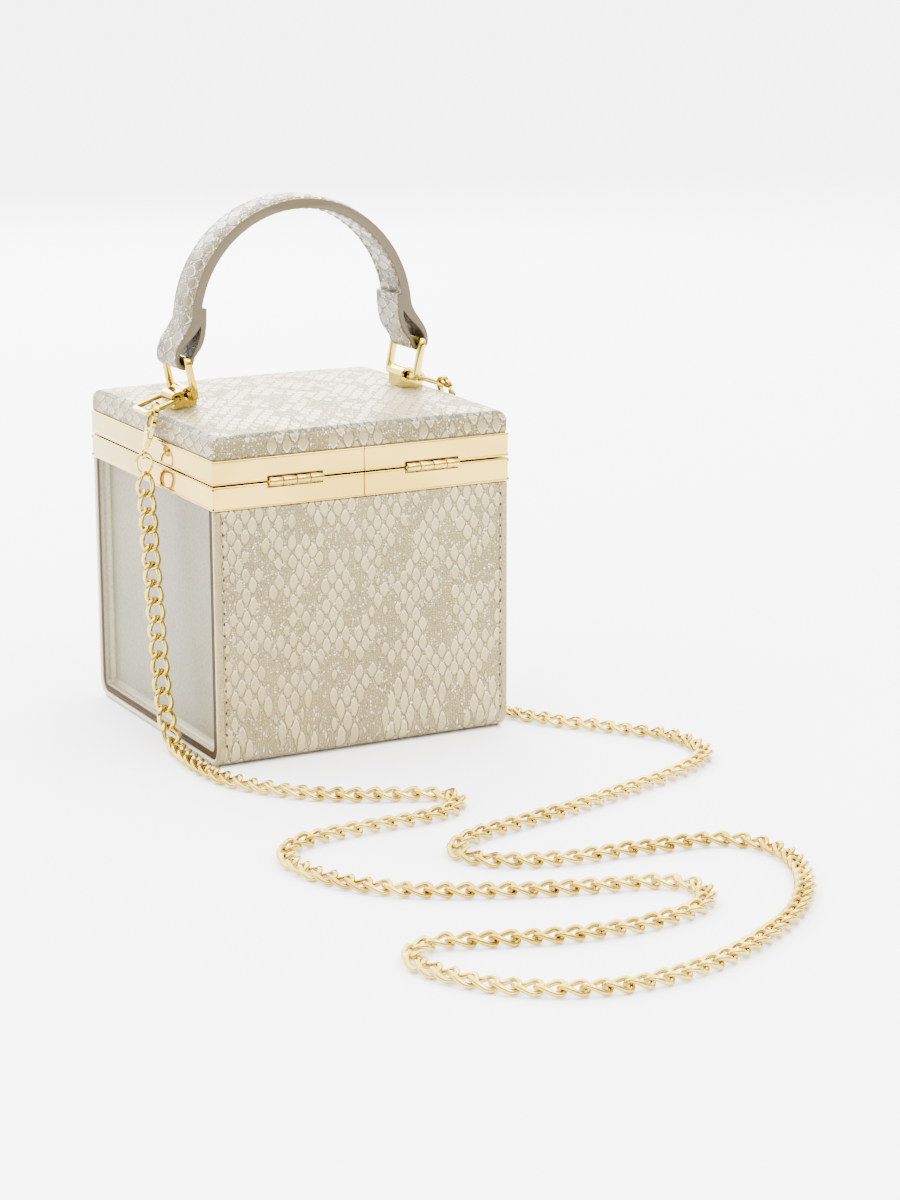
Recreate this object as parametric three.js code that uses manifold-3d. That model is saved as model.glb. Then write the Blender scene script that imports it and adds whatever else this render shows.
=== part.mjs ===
// A box bag of embossed leather in a polished metal frame, with a hinged lid, a top handle
// and a chain strap that hangs from one side and lies on the surface the bag stands on.
// Millimetres, +Z up. The origin is the centre of the base. +X runs along the hinge line and
// the hinge side faces -Y.

import * as THREE from 'three';
import { mergeVertices } from 'three/addons/utils/BufferGeometryUtils.js';
import Module from 'manifold-3d';

const wasm = await Module();
wasm.setup();

// Box and frame
const BOX_WIDTH = 125;
const BOX_DEPTH = 125;
const BODY_HEIGHT = 99.9;
const BAND_HEIGHT = 9;
const BAND_GAP = 1.1;
const BAND_WALL = 1;
const BAND_LIP = 5.5;
const BAND_CORNER = 1;
const SEAM_GAP = 0.3;
const CLEARANCE = 0.3;

// Leather of the box
const REVEAL = 0.5;
const WRAP_WALL = 2.4;
const WRAP_CORNER = 8;
const TONGUE_WALL = 1.6;
const GUSSET_WALL = 1.8;
const GUSSET_RECESS = 4;
const RAW_EDGE_STEP = 0.3;

// Padded lid
const LID_SIDE = 8.4;
const LID_WALL = 2.4;
const LID_EDGE_RADIUS = 3.6;
const LID_CORNER = 1.6;
const LID_CROWN = 2.6;
const LID_CROWN_POWER = 4;
const LID_CROWN_STEPS = [0.14, 0.3, 0.5, 0.75];

// Barrel hinges
const KNUCKLE_COUNT = 4;
const KNUCKLE_LENGTH = 5.6;
const KNUCKLE_SPLIT = 0.3;
const BARREL_RADIUS = 1.8;
const BARREL_PROUD = 0.4;
const PIN_RADIUS = 0.6;
const LEAF_WALL = 0.8;
const LEAF_TAB = 1;
const LEAF_DROP = 7;
const HINGE_OFFSET = 28.7;

// Brackets on the lid
const BRACKET_INSET = 15.1;
const BRACKET_SEAT = 0.35;
const BRACKET_RISE = 4.8;
const BRACKET_DEPTH = 11.3;
const HANDLE_LUG_RADIUS = 3.2;
const CHAIN_LUG_RADIUS = 2.6;
const CHAIN_LUG_REACH = 4.8;
const CHAIN_LUG_DROP = 1.3;
const BRACKET_FOOT_REACH = 1.56;

// Rings that hold the handle
const RING_BAR = 3;
const RING_THICK = 2.6;
const RING_EDGE = 0.5;
const RING_REACH = 14.5;
const RING_LEAN = 12;
const RING_CORNER = 2.6;
const RING_SIDE_PLAY = 0.7;
const RING_BORE_PLAY = 0.6;

// Rings that hold the chain clasps
const LINK_BAR = 2;
const LINK_THICK = 1.8;
const LINK_EDGE = 0.4;
const LINK_REACH = 13.5;
const LINK_SLOPE = 19;
const LINK_CORNER = 2.4;
const LINK_SIDE_PLAY = 0.65;
const LINK_BORE_PLAY = 0.5;

// Handle
const STRAP_WIDTH = 19.6;
const STRAP_THICK = 4;
const STRAP_END_THICK = 1.9;
const TAIL_THICK = 1.8;
const HANDLE_RADIUS = 47.2;
const HANDLE_TOP = 207.7;
const TAIL_TOP = 168;
const HANDLE_SPRING = 5.4;
const LOOP_NECK = 1;
const LEG_OUTER_SLIM = 0.6;
const LEG_OUTER_SWELL = 0.7;
const LEG_INNER_SLIM = 0.2;

// Snap clasps at the ends of the chain
const CLASP_RADIUS = 4.2;
const CLASP_WIRE = 1.6;
const CLASP_THICK = 2.2;
const CLASP_EDGE = 0.35;
const CLASP_LENGTH = 16.6;
const CLASP_TURN = 80;
const CLASP_LEAN = 16;
const CLASP_HANG = 0.3;
const CLASP_SETBACK = 2.4;
const CLASP_NOSE_DIP = 10.8;
const HOUSING_TOP = 7.304;
const HOUSING_FOOT = 10.292;
const HOUSING_INSET = 0.3;
const HOUSING_NOTCH = 1.6;
const NECK_HALF_WIDTH = 2.07;
const NECK_RISE = 3.68;
const EYE_RADIUS = 2.3;
const EYE_BORE = 1.5;
const EYE_THICK = 1.2;
const LEVER_THICK = 1.4;
const LEVER_PIN = 0.45;
const LEVER_PIN_INSET = 1.15;
const LEVER_PIN_DROP = 1.3;
const LEVER_PIN_SHY = 0.2;
const LEVER_SLOT_START = 1.5;
const LEVER_SLOT_HEAD = 3;
const LEVER_SLOT_FOOT = 0.2;
const LEVER_INSET = 0.1;
const LEVER_TIP_GAP = 0.6;
const LEVER_HIP = 0.6;
const LEVER_HIP_STEP = 0.5;
const LEVER_WAIST = 0.4;
const LEVER_HEEL_INSET = 0.3;
const LEVER_BULGE = 1.6;

// Oval rings and the chain strap
const OVAL_HALF_WIDTH = 3.1;
const OVAL_HALF_HEIGHT = 3.9;
const OVAL_WIRE = 0.5;
const CHAIN_RADIUS = 2.2;
const CHAIN_SIDES = 8;
const CHAIN_STEPS = 80;

// Catch on the clasp side
const CATCH_WIDTH = 18;
const CATCH_HEIGHT = 15;
const CATCH_THICK = 2.6;
const CATCH_CORNER = 2.5;
const CATCH_INSET = 1.5;

// Hand-chosen points that the chain passes, from the first clasp to the second
const CHAIN_ROUTE = [
  [-67.0, -9.0, 89], [-67.0, -11.6, 68], [-67.0, -15.0, 46], [-67.0, -18.6, 24],
  [-67.2, -24.0, 10], [-67.6, -33.0, 3.2], [-68.6, -46, 2.3], [-69, -64, 2.3], [-66, -81, 2.3],
  [-56, -99, 2.3], [-38, -117, 2.3], [-16, -128, 2.3], [-4, -134.5, 2.3], [-3.5, -144, 2.3],
  [-13, -153, 2.3], [-36, -155, 2.3], [-63, -157, 2.3], [-79, -164, 2.3], [-85, -177, 2.3],
  [-81, -198, 2.3], [-65, -220, 2.3], [-36, -237, 2.3], [-4, -248, 2.3], [16, -254, 2.3],
  [24, -264, 2.3], [17, -279, 2.3], [-3, -286, 2.3], [-34, -285, 2.3], [-62, -276, 2.3],
  [-80, -271, 2.3], [-90, -279, 2.3], [-89, -293, 2.3], [-77, -313, 2.3], [-54, -328, 2.3],
  [-24, -330, 2.3], [9, -319, 2.3], [42, -297, 2.3], [63, -268, 2.3], [69, -244, 2.3],
  [60, -227, 2.3], [30, -221, 2.3], [-3, -217.5, 2.3], [-25, -206.5, 2.3], [-29.5, -194, 2.3],
  [-18, -183, 2.3], [23, -172, 2.3], [64, -158.5, 2.3], [95, -146, 2.3], [109, -133, 2.3],
  [110, -111, 2.3], [95, -87, 2.3], [80, -68, 2.3], [71, -50, 2.3], [68, -36, 3.2],
  [67.2, -26, 10], [67, -19.6, 24], [67, -15.5, 46], [67, -12, 68], [67, -9.4, 89],
];

// Levels and half sizes that follow from the sizes above
const halfWidth = BOX_WIDTH / 2;
const halfDepth = BOX_DEPTH / 2;
const lowerBandTop = BODY_HEIGHT + BAND_HEIGHT;
const upperBandBottom = lowerBandTop + BAND_GAP;
const upperBandTop = upperBandBottom + BAND_HEIGHT;
const gapLevel = lowerBandTop + BAND_GAP / 2;
const lidEdgeLevel = upperBandTop + LID_SIDE;
const skinX = halfWidth - REVEAL;
const skinY = halfDepth - REVEAL;
const tongueX = halfWidth - BAND_WALL - CLEARANCE;
const tongueY = halfDepth - BAND_WALL - CLEARANCE;
const tongueInnerY = tongueY - TONGUE_WALL;
const tongueTop = lowerBandTop - BAND_WALL - CLEARANCE;
const tongueBottom = upperBandBottom + BAND_WALL + CLEARANCE;
const bracketX = halfWidth - BRACKET_INSET;
const bracketLevel = lidTop(bracketX, 0) + BRACKET_SEAT + BRACKET_RISE;
const strapInside = STRAP_WIDTH / 2 + RING_SIDE_PLAY;

const gold = (shade = 0xe6d19a) => new THREE.MeshStandardMaterial({
  color: shade, metalness: 1, roughness: 0.16,
});
const embossedLeather = () => new THREE.MeshStandardMaterial({
  color: 0xcdc6ac, metalness: 0.55, roughness: 0.42,
});
const smoothLeather = () => new THREE.MeshStandardMaterial({
  color: 0xbfbeb2, metalness: 0.5, roughness: 0.4,
});

const bag = new THREE.Group();

function add(name, geometry, material) {
  const mesh = new THREE.Mesh(geometry, material);
  mesh.name = name;
  bag.add(mesh);
  return mesh;
}

// Solids: a welded copy of a geometry, joined and cut, and turned back into a geometry
function solidOf(geometry) {
  const bare = geometry.clone();
  bare.deleteAttribute('normal');
  bare.deleteAttribute('uv');
  const welded = mergeVertices(bare, 1e-5);
  return new wasm.Manifold(new wasm.Mesh({
    numProp: 3,
    vertProperties: new Float32Array(welded.attributes.position.array),
    triVerts: new Uint32Array(welded.index.array),
  }));
}

function geometryOf(solid) {
  const mesh = solid.getMesh();
  const geometry = new THREE.BufferGeometry();
  geometry.setAttribute('position', new THREE.BufferAttribute(new Float32Array(mesh.vertProperties), 3));
  geometry.setIndex(new THREE.BufferAttribute(new Uint32Array(mesh.triVerts), 1));
  geometry.computeVertexNormals();
  return geometry;
}

function cut(geometry, ...tools) {
  let solid = solidOf(geometry);
  for (const tool of tools) {
    solid = solid.subtract(solidOf(tool));
  }
  return geometryOf(solid);
}

function join(...geometries) {
  let solid = solidOf(geometries[0]);
  for (const geometry of geometries.slice(1)) {
    solid = solid.add(solidOf(geometry));
  }
  return geometryOf(solid);
}

// Mirror in the plane x = 0, with the faces turned back to point out
function mirrored(geometry) {
  const copy = mergeVertices(geometry.clone().deleteAttribute('normal').deleteAttribute('uv'), 1e-5);
  copy.scale(-1, 1, 1);
  const index = copy.index.array;
  for (let i = 0; i < index.length; i += 3) {
    [index[i + 1], index[i + 2]] = [index[i + 2], index[i + 1]];
  }
  copy.computeVertexNormals();
  return copy;
}

function box(x0, x1, y0, y1, z0, z1) {
  const geometry = new THREE.BoxGeometry(x1 - x0, y1 - y0, z1 - z0);
  return geometry.translate((x0 + x1) / 2, (y0 + y1) / 2, (z0 + z1) / 2);
}

// A closed outline of (y, z) points run along X
function alongX(shape, x0, x1) {
  const geometry = new THREE.ExtrudeGeometry(shape, { depth: x1 - x0, bevelEnabled: false, curveSegments: 6 });
  const turn = new THREE.Matrix4().makeBasis(
    new THREE.Vector3(0, 1, 0), new THREE.Vector3(0, 0, 1), new THREE.Vector3(1, 0, 0));
  return geometry.applyMatrix4(turn).translate(x0, 0, 0);
}

// A closed outline of (x, z) points run along Y
function alongY(shape, y0, y1, curveSegments = 6) {
  const geometry = new THREE.ExtrudeGeometry(shape, { depth: y1 - y0, bevelEnabled: false, curveSegments });
  const turn = new THREE.Matrix4().makeBasis(
    new THREE.Vector3(1, 0, 0), new THREE.Vector3(0, 0, 1), new THREE.Vector3(0, -1, 0));
  return geometry.applyMatrix4(turn).translate(0, y1, 0);
}

function alongZ(shape, z0, z1) {
  const geometry = new THREE.ExtrudeGeometry(shape, { depth: z1 - z0, bevelEnabled: false, curveSegments: 3 });
  return geometry.translate(0, 0, z0);
}

// A rod along Y through (x, z)
function rodAlongY(radius, x, z, y0, y1, sides = 16) {
  const rod = new THREE.CylinderGeometry(radius, radius, y1 - y0, sides);
  return rod.translate(x, (y0 + y1) / 2, z);
}

// A rounded rectangle about the origin of its plane
function roundedRect(halfX, halfY, radius, Kind = THREE.Shape) {
  const outline = new Kind();
  const right = halfX - radius;
  const up = halfY - radius;
  outline.absarc(right, up, radius, 0, Math.PI / 2);
  outline.absarc(-right, up, radius, Math.PI / 2, Math.PI);
  outline.absarc(-right, -up, radius, Math.PI, 1.5 * Math.PI);
  outline.absarc(right, -up, radius, 1.5 * Math.PI, 2 * Math.PI);
  outline.closePath();
  return outline;
}

// A frame's outline in plan. Its inner corners are tight, to clear the leather edge inside.
function frameRing(halfX, halfY, wall, radius) {
  const shape = roundedRect(halfX, halfY, radius);
  shape.holes.push(roundedRect(halfX - wall, halfY - wall, CLEARANCE, THREE.Path));
  return shape;
}

// A twelve-sided bore whose flats clear a round pin
function boreFor(radius, length) {
  const sides = 12;
  const size = (radius + CLEARANCE) / Math.cos(Math.PI / sides);
  return new THREE.CylinderGeometry(size, size, length, sides);
}

// The flat wrap panel: hinge side, base and clasp side in one piece of embossed leather.
// Its thinner top edges sit inside the lower frame band.
function wrapPanel() {
  const shoulder = BODY_HEIGHT - CLEARANCE;
  const flat = skinY - WRAP_CORNER;
  const inner = skinY - WRAP_WALL;
  const outline = new THREE.Shape();
  outline.moveTo(-tongueY, shoulder);
  outline.lineTo(-skinY, shoulder);
  outline.absarc(-flat, WRAP_CORNER, WRAP_CORNER, Math.PI, 1.5 * Math.PI);
  outline.absarc(flat, WRAP_CORNER, WRAP_CORNER, 1.5 * Math.PI, 2 * Math.PI);
  outline.lineTo(skinY, shoulder);
  outline.lineTo(tongueY, shoulder);
  outline.lineTo(tongueY, tongueTop);
  outline.lineTo(tongueInnerY, tongueTop);
  outline.lineTo(inner, shoulder - (tongueInnerY - inner));
  outline.absarc(flat, WRAP_CORNER, WRAP_CORNER - WRAP_WALL, 0, -0.5 * Math.PI, true);
  outline.absarc(-flat, WRAP_CORNER, WRAP_CORNER - WRAP_WALL, 1.5 * Math.PI, Math.PI, true);
  outline.lineTo(-inner, shoulder - (tongueInnerY - inner));
  outline.lineTo(-tongueInnerY, tongueTop);
  outline.lineTo(-tongueY, tongueTop);
  outline.closePath();
  const sleeve = [-1, 1].map((side) => {
    const edge = side * tongueX;
    const far = side * (skinX + 1);
    return box(Math.min(edge, far), Math.max(edge, far), -skinY - 1, skinY + 1, shoulder, tongueTop + 1);
  });
  return cut(alongX(outline, -skinX, skinX), ...sleeve);
}

// One side gusset: a smooth panel set back from the edge of the wrap, with a turned-out
// flange that is sewn to the wrap along the sides and the base.
function gusset() {
  const half = skinY - WRAP_WALL - CLEARANCE;
  const floor = WRAP_WALL + CLEARANCE;
  const corner = WRAP_CORNER - WRAP_WALL - CLEARANCE;
  const pocket = (inset, top) => {
    const outline = new THREE.Shape();
    outline.moveTo(half - inset, top);
    outline.lineTo(-half + inset, top);
    outline.absarc(-half + corner, floor + corner, corner - inset, Math.PI, 1.5 * Math.PI);
    outline.absarc(half - corner, floor + corner, corner - inset, 1.5 * Math.PI, 2 * Math.PI);
    outline.closePath();
    return outline;
  };
  const flangeEnd = skinX - RAW_EDGE_STEP;
  const panelFace = skinX - GUSSET_RECESS;
  const shoulder = BODY_HEIGHT - CLEARANCE;
  const blank = alongX(pocket(0, tongueTop), panelFace - GUSSET_WALL, flangeEnd);
  const hollow = alongX(pocket(GUSSET_WALL, tongueTop + 1), panelFace, flangeEnd + 1);
  const aboveFlange = box(panelFace, flangeEnd + 1, -half - 1, half + 1, shoulder, tongueTop + 1);
  return cut(blank, hollow, aboveFlange);
}

// A frame band: an upright wall and a flat mating lip, cut away for the hinges and split by
// a butt seam at the middle of the hinge side.
function frameBand(bottom, lipBottom) {
  const wall = alongZ(frameRing(halfWidth, halfDepth, BAND_WALL, BAND_CORNER), bottom, bottom + BAND_HEIGHT);
  const lip = alongZ(frameRing(halfWidth, halfDepth, BAND_LIP, BAND_CORNER), lipBottom, lipBottom + BAND_WALL);
  const reach = hingeLength() / 2 + CLEARANCE;
  const notches = [-1, 1].map((side) => box(
    side * HINGE_OFFSET - reach, side * HINGE_OFFSET + reach,
    -halfDepth - 1, leafInner() + CLEARANCE,
    gapLevel - BARREL_RADIUS - CLEARANCE, gapLevel + BARREL_RADIUS + CLEARANCE));
  const seam = box(-SEAM_GAP / 2, SEAM_GAP / 2, -halfDepth - 1, -halfDepth + BAND_LIP + 1,
    bottom - 1, bottom + BAND_HEIGHT + 1);
  return cut(join(wall, lip), ...notches, seam);
}

function hingeLength() {
  return KNUCKLE_COUNT * KNUCKLE_LENGTH;
}

// The face of the hinge leaves that looks into the bag
function leafInner() {
  return -tongueInnerY + CLEARANCE + LEAF_WALL;
}

// One leaf of a barrel hinge: every second knuckle, with the tabs that lead through the
// notch to a plate behind the frame band. up is 1 for the lid's leaf and -1 for the box's.
function hingeLeaf(side, up, firstKnuckle) {
  const start = side * HINGE_OFFSET - hingeLength() / 2;
  const axisY = -halfDepth - BARREL_PROUD;
  const bandEdge = gapLevel + up * BAND_GAP / 2;
  const plate = box(start, start + hingeLength(), leafInner() - LEAF_WALL, leafInner(),
    Math.min(bandEdge, bandEdge + up * LEAF_DROP), Math.max(bandEdge, bandEdge + up * LEAF_DROP));
  const pieces = [plate];
  for (let i = firstKnuckle; i < KNUCKLE_COUNT; i += 2) {
    const x0 = start + i * KNUCKLE_LENGTH + KNUCKLE_SPLIT / 2;
    const x1 = x0 + KNUCKLE_LENGTH - KNUCKLE_SPLIT;
    const barrel = new THREE.CylinderGeometry(BARREL_RADIUS, BARREL_RADIUS, x1 - x0, 16);
    barrel.rotateZ(Math.PI / 2).translate((x0 + x1) / 2, axisY, gapLevel);
    const tab = box(x0, x1, axisY, leafInner() - LEAF_WALL / 2,
      Math.min(bandEdge, bandEdge + up * LEAF_TAB), Math.max(bandEdge, bandEdge + up * LEAF_TAB));
    pieces.push(barrel, tab);
  }
  const bore = boreFor(PIN_RADIUS, hingeLength() + 2);
  bore.rotateZ(Math.PI / 2).translate(side * HINGE_OFFSET, axisY, gapLevel);
  return cut(join(...pieces), bore);
}

function hingePin(side) {
  const pin = new THREE.CylinderGeometry(PIN_RADIUS, PIN_RADIUS, hingeLength(), 10);
  return pin.rotateZ(Math.PI / 2).translate(side * HINGE_OFFSET, -halfDepth - BARREL_PROUD, gapLevel);
}

// Height of the padded lid's skin over a point of its plan
function lidTop(x, y) {
  const fall = (share) => 1 - Math.abs(share) ** LID_CROWN_POWER;
  return lidEdgeLevel + LID_CROWN * fall(x / skinX) * fall(y / skinY);
}

// The lid: a padded shell, open below, with rounded edges and a crowned top. Its thin lower
// edge sits inside the upper frame band. Rings of equal point counts are joined in turn, from
// the middle of the top out and down, then in and up to the middle of the ceiling.
function lidShell() {
  const spanSteps = 8;
  const cornerSteps = 3;
  const edgeSteps = 4;
  const ring = (inset, height) => {
    const points = [];
    const halfX = skinX - inset;
    const halfY = skinY - inset;
    const radius = Math.max(LID_CORNER - inset, LID_CORNER / 4);
    const corners = [[1, 1], [-1, 1], [-1, -1], [1, -1]];
    corners.forEach(([sx, sy], quarter) => {
      const centreX = sx * (halfX - radius);
      const centreY = sy * (halfY - radius);
      for (let i = 0; i <= cornerSteps; i += 1) {
        const angle = (quarter + i / cornerSteps) * Math.PI / 2;
        points.push([centreX + radius * Math.cos(angle), centreY + radius * Math.sin(angle)]);
      }
      const [nextX, nextY] = corners[(quarter + 1) % 4];
      const from = points[points.length - 1];
      const to = [nextX * (halfX - (nextY === sy ? radius : 0)), nextY * (halfY - (nextX === sx ? radius : 0))];
      for (let i = 1; i < spanSteps; i += 1) {
        const share = i / spanSteps;
        points.push([from[0] + (to[0] - from[0]) * share, from[1] + (to[1] - from[1]) * share]);
      }
    });
    return points.map(([x, y]) => new THREE.Vector3(x, y, height(x, y)));
  };
  const level = (z) => () => z;
  const shoulder = upperBandTop + CLEARANCE;
  const tongueInset = skinX - tongueX;
  const outer = LID_CROWN_STEPS.toReversed().map((share) => ring(share * skinX, lidTop));
  for (let i = edgeSteps; i >= 0; i -= 1) {
    const angle = (i / edgeSteps) * Math.PI / 2;
    const drop = LID_EDGE_RADIUS * (1 - Math.sin(angle));
    outer.push(ring(LID_EDGE_RADIUS * (1 - Math.cos(angle)), (x, y) => lidTop(x, y) - drop));
  }
  outer.push(ring(0, level(shoulder)));
  outer.push(ring(tongueInset, level(shoulder)));
  outer.push(ring(tongueInset, level(tongueBottom)));
  const ceiling = (x, y) => lidTop(x, y) - LID_WALL;
  const inner = [
    ring(tongueInset + TONGUE_WALL, level(tongueBottom)),
    ring(LID_WALL, level(shoulder)),
    ring(LID_WALL, (x, y) => ceiling(x, y) - LID_WALL / 2),
    ring(LID_WALL * 1.5, ceiling),
    ...LID_CROWN_STEPS.map((share) => ring(share * skinX + LID_WALL, ceiling)),
  ];
  const rings = [...outer, ...inner];
  const count = rings[0].length;
  const positions = rings.flat().flatMap((point) => [point.x, point.y, point.z]);
  const top = rings.length * count;
  positions.push(0, 0, lidTop(0, 0), 0, 0, ceiling(0, 0));
  const faces = [];
  for (let i = 0; i < count; i += 1) {
    const next = (i + 1) % count;
    faces.push(top, i, next);
    for (let r = 0; r < rings.length - 1; r += 1) {
      const near = r * count;
      const far = near + count;
      faces.push(near + i, far + i, far + next, near + i, far + next, near + next);
    }
    const last = (rings.length - 1) * count;
    faces.push(top + 1, last + next, last + i);
  }
  const geometry = new THREE.BufferGeometry();
  geometry.setAttribute('position', new THREE.Float32BufferAttribute(positions, 3));
  geometry.setIndex(faces);
  geometry.computeVertexNormals();
  return geometry;
}

// Where the bars of the right-hand rings lie, as (x, z)
function handleLug() {
  return { x: bracketX, z: bracketLevel };
}

function chainLug() {
  return { x: bracketX + CHAIN_LUG_REACH, z: bracketLevel - CHAIN_LUG_DROP };
}

// A cast bracket with a barrel for the handle's ring and a lower one for the chain's ring
function bracket() {
  const handle = handleLug();
  const chain = chainLug();
  const inner = handle.x - HANDLE_LUG_RADIUS;
  const outer = chain.x + BRACKET_FOOT_REACH;
  const foot = (x) => lidTop(x, 0) + BRACKET_SEAT;
  const outline = new THREE.Shape();
  outline.moveTo(inner, foot(inner));
  outline.lineTo(outer, foot(outer));
  outline.absarc(chain.x, chain.z, CHAIN_LUG_RADIUS, -0.3 * Math.PI, 0.5 * Math.PI);
  outline.absarc(handle.x, handle.z, HANDLE_LUG_RADIUS, 0.18 * Math.PI, Math.PI);
  outline.closePath();
  const half = BRACKET_DEPTH / 2;
  const handleBore = (RING_BAR + RING_BORE_PLAY * 2) / 2;
  const chainBore = (LINK_BAR + LINK_BORE_PLAY * 2) / 2;
  return cut(
    alongY(outline, -half, half),
    rodAlongY(handleBore, handle.x, handle.z, -half - 1, half + 1),
    rodAlongY(chainBore, chain.x, chain.z, -half - 1, half + 1));
}

// A flat cast ring with softened edges. Its plane holds the Y axis and the direction given,
// and its first bar lies at the pivot.
function flatRing(pivot, direction, reach, insideWidth, bar, thick, edge, corner) {
  const halfWide = insideWidth / 2 + bar;
  const halfLong = reach / 2 + bar / 2;
  const shape = roundedRect(halfWide - edge, halfLong - edge, corner - edge);
  shape.holes.push(roundedRect(halfWide - bar + edge, halfLong - bar + edge,
    Math.max(corner - bar + edge, edge * 2), THREE.Path));
  const geometry = new THREE.ExtrudeGeometry(shape, {
    depth: thick - 2 * edge, bevelEnabled: true, bevelThickness: edge, bevelSize: edge,
    bevelSegments: 1, curveSegments: 4,
  });
  geometry.translate(0, reach / 2, -(thick / 2 - edge));
  const across = new THREE.Vector3(0, 1, 0);
  const normal = new THREE.Vector3().crossVectors(across, direction);
  const place = new THREE.Matrix4().makeBasis(across, direction, normal);
  return geometry.applyMatrix4(place).translate(pivot.x, 0, pivot.z);
}

function handleRingDirection() {
  const lean = THREE.MathUtils.degToRad(RING_LEAN);
  return new THREE.Vector3(Math.sin(lean), 0, Math.cos(lean));
}

function chainRingDirection() {
  const slope = THREE.MathUtils.degToRad(LINK_SLOPE);
  return new THREE.Vector3(Math.cos(slope), 0, -Math.sin(slope));
}

function handleRing() {
  return flatRing(handleLug(), handleRingDirection(), RING_REACH, 2 * strapInside,
    RING_BAR, RING_THICK, RING_EDGE, RING_CORNER);
}

function chainRingInside() {
  return BRACKET_DEPTH + 2 * LINK_SIDE_PLAY;
}

function chainRing() {
  return flatRing(chainLug(), chainRingDirection(), LINK_REACH, chainRingInside(),
    LINK_BAR, LINK_THICK, LINK_EDGE, LINK_CORNER);
}

// The handle: a padded strap over a half round, its ends looped round the rings and sewn
// back to the inside as flat tails.
function handle() {
  const lug = handleLug();
  const lean = handleRingDirection();
  const eye = new THREE.Vector2(lug.x + lean.x * RING_REACH, lug.z + lean.z * RING_REACH);
  const bore = RING_BAR / 2 + RING_BORE_PLAY;
  const loop = bore + STRAP_END_THICK;
  const centre = HANDLE_TOP - HANDLE_RADIUS;
  const spring = THREE.MathUtils.degToRad(HANDLE_SPRING);
  const innerRadius = HANDLE_RADIUS - STRAP_THICK;
  const tailLift = Math.asin((TAIL_TOP - centre) / innerRadius);
  const arc = (x, z, radius, from, to, steps) => Array.from({ length: steps + 1 }, (_, i) => {
    const angle = from + (to - from) * i / steps;
    return new THREE.Vector2(x + radius * Math.cos(angle), z + radius * Math.sin(angle));
  });
  const bend = (a, b, c, d) => new THREE.CubicBezierCurve(a, b, c, d).getPoints(6).slice(1, -1);
  const outerFoot = new THREE.Vector2(HANDLE_RADIUS * Math.cos(spring), centre + HANDLE_RADIUS * Math.sin(spring));
  const tailRadius = innerRadius - TAIL_THICK;
  const tailEnd = new THREE.Vector2(tailRadius * Math.cos(tailLift), centre + tailRadius * Math.sin(tailLift));
  const drop = outerFoot.y - eye.y;
  const outerSide = bend(
    new THREE.Vector2(eye.x + loop, eye.y + LOOP_NECK),
    new THREE.Vector2(eye.x + loop - LEG_OUTER_SLIM, eye.y + drop * 0.45),
    new THREE.Vector2(outerFoot.x + LEG_OUTER_SWELL, outerFoot.y - drop * 0.35), outerFoot);
  const innerSide = bend(
    tailEnd, new THREE.Vector2(tailEnd.x + LEG_INNER_SLIM, tailEnd.y - drop * 0.4),
    new THREE.Vector2(eye.x - loop - LEG_INNER_SLIM, eye.y + drop * 0.4),
    new THREE.Vector2(eye.x - loop, eye.y + LOOP_NECK));
  const outerRight = [
    ...arc(eye.x, eye.y, loop, -0.5 * Math.PI, 0, 5),
    ...outerSide,
    ...arc(0, centre, HANDLE_RADIUS, spring, 0.5 * Math.PI, 14),
  ];
  const innerRight = [
    ...arc(0, centre, innerRadius, 0.5 * Math.PI, tailLift, 12),
    tailEnd,
    ...innerSide,
    ...arc(eye.x, eye.y, loop, -Math.PI, -0.5 * Math.PI, 5).slice(0, -1),
  ];
  const flip = (points) => points.toReversed().map((point) => new THREE.Vector2(-point.x, point.y));
  const outline = new THREE.Shape([
    ...outerRight, ...flip(outerRight).slice(1), ...flip(innerRight), ...innerRight.slice(1),
  ]);
  for (const side of [1, -1]) {
    const hole = new THREE.Path();
    hole.absarc(side * eye.x, eye.y, bore, 0, 2 * Math.PI);
    outline.holes.push(hole);
  }
  return alongY(outline, -STRAP_WIDTH / 2, STRAP_WIDTH / 2);
}

// The right-hand clasp's own frame: local x runs across it towards the lever, local y up it
// and local z through it. Its origin is on the near leg of the ring that it hangs from.
function claspFrame() {
  const lug = chainLug();
  const out = chainRingDirection();
  const lean = THREE.MathUtils.degToRad(CLASP_LEAN);
  const turn = THREE.MathUtils.degToRad(CLASP_TURN);
  const reach = LINK_REACH - CLASP_SETBACK;
  const forward = (chainRingInside() + LINK_BAR) / 2;
  const up = new THREE.Vector3(-Math.sin(lean), 0, Math.cos(lean));
  const level = new THREE.Vector3(Math.cos(lean), 0, Math.sin(lean));
  const across = level.multiplyScalar(Math.cos(turn)).sub(new THREE.Vector3(0, Math.sin(turn), 0));
  const through = new THREE.Vector3().crossVectors(across, up);
  const frame = new THREE.Matrix4().makeBasis(across, up, through);
  return frame.setPosition(lug.x + out.x * reach, -forward, lug.z + out.z * reach);
}

// Measures of the clasp in its own frame
const hookCentre = -CLASP_HANG;
const innerHook = CLASP_RADIUS - CLASP_WIRE;
const housingTop = -HOUSING_TOP;
const housingFoot = -HOUSING_FOOT;
const leverPivot = { x: CLASP_RADIUS - LEVER_PIN_INSET, y: housingTop - LEVER_PIN_DROP };
const noseDip = THREE.MathUtils.degToRad(CLASP_NOSE_DIP);

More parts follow.
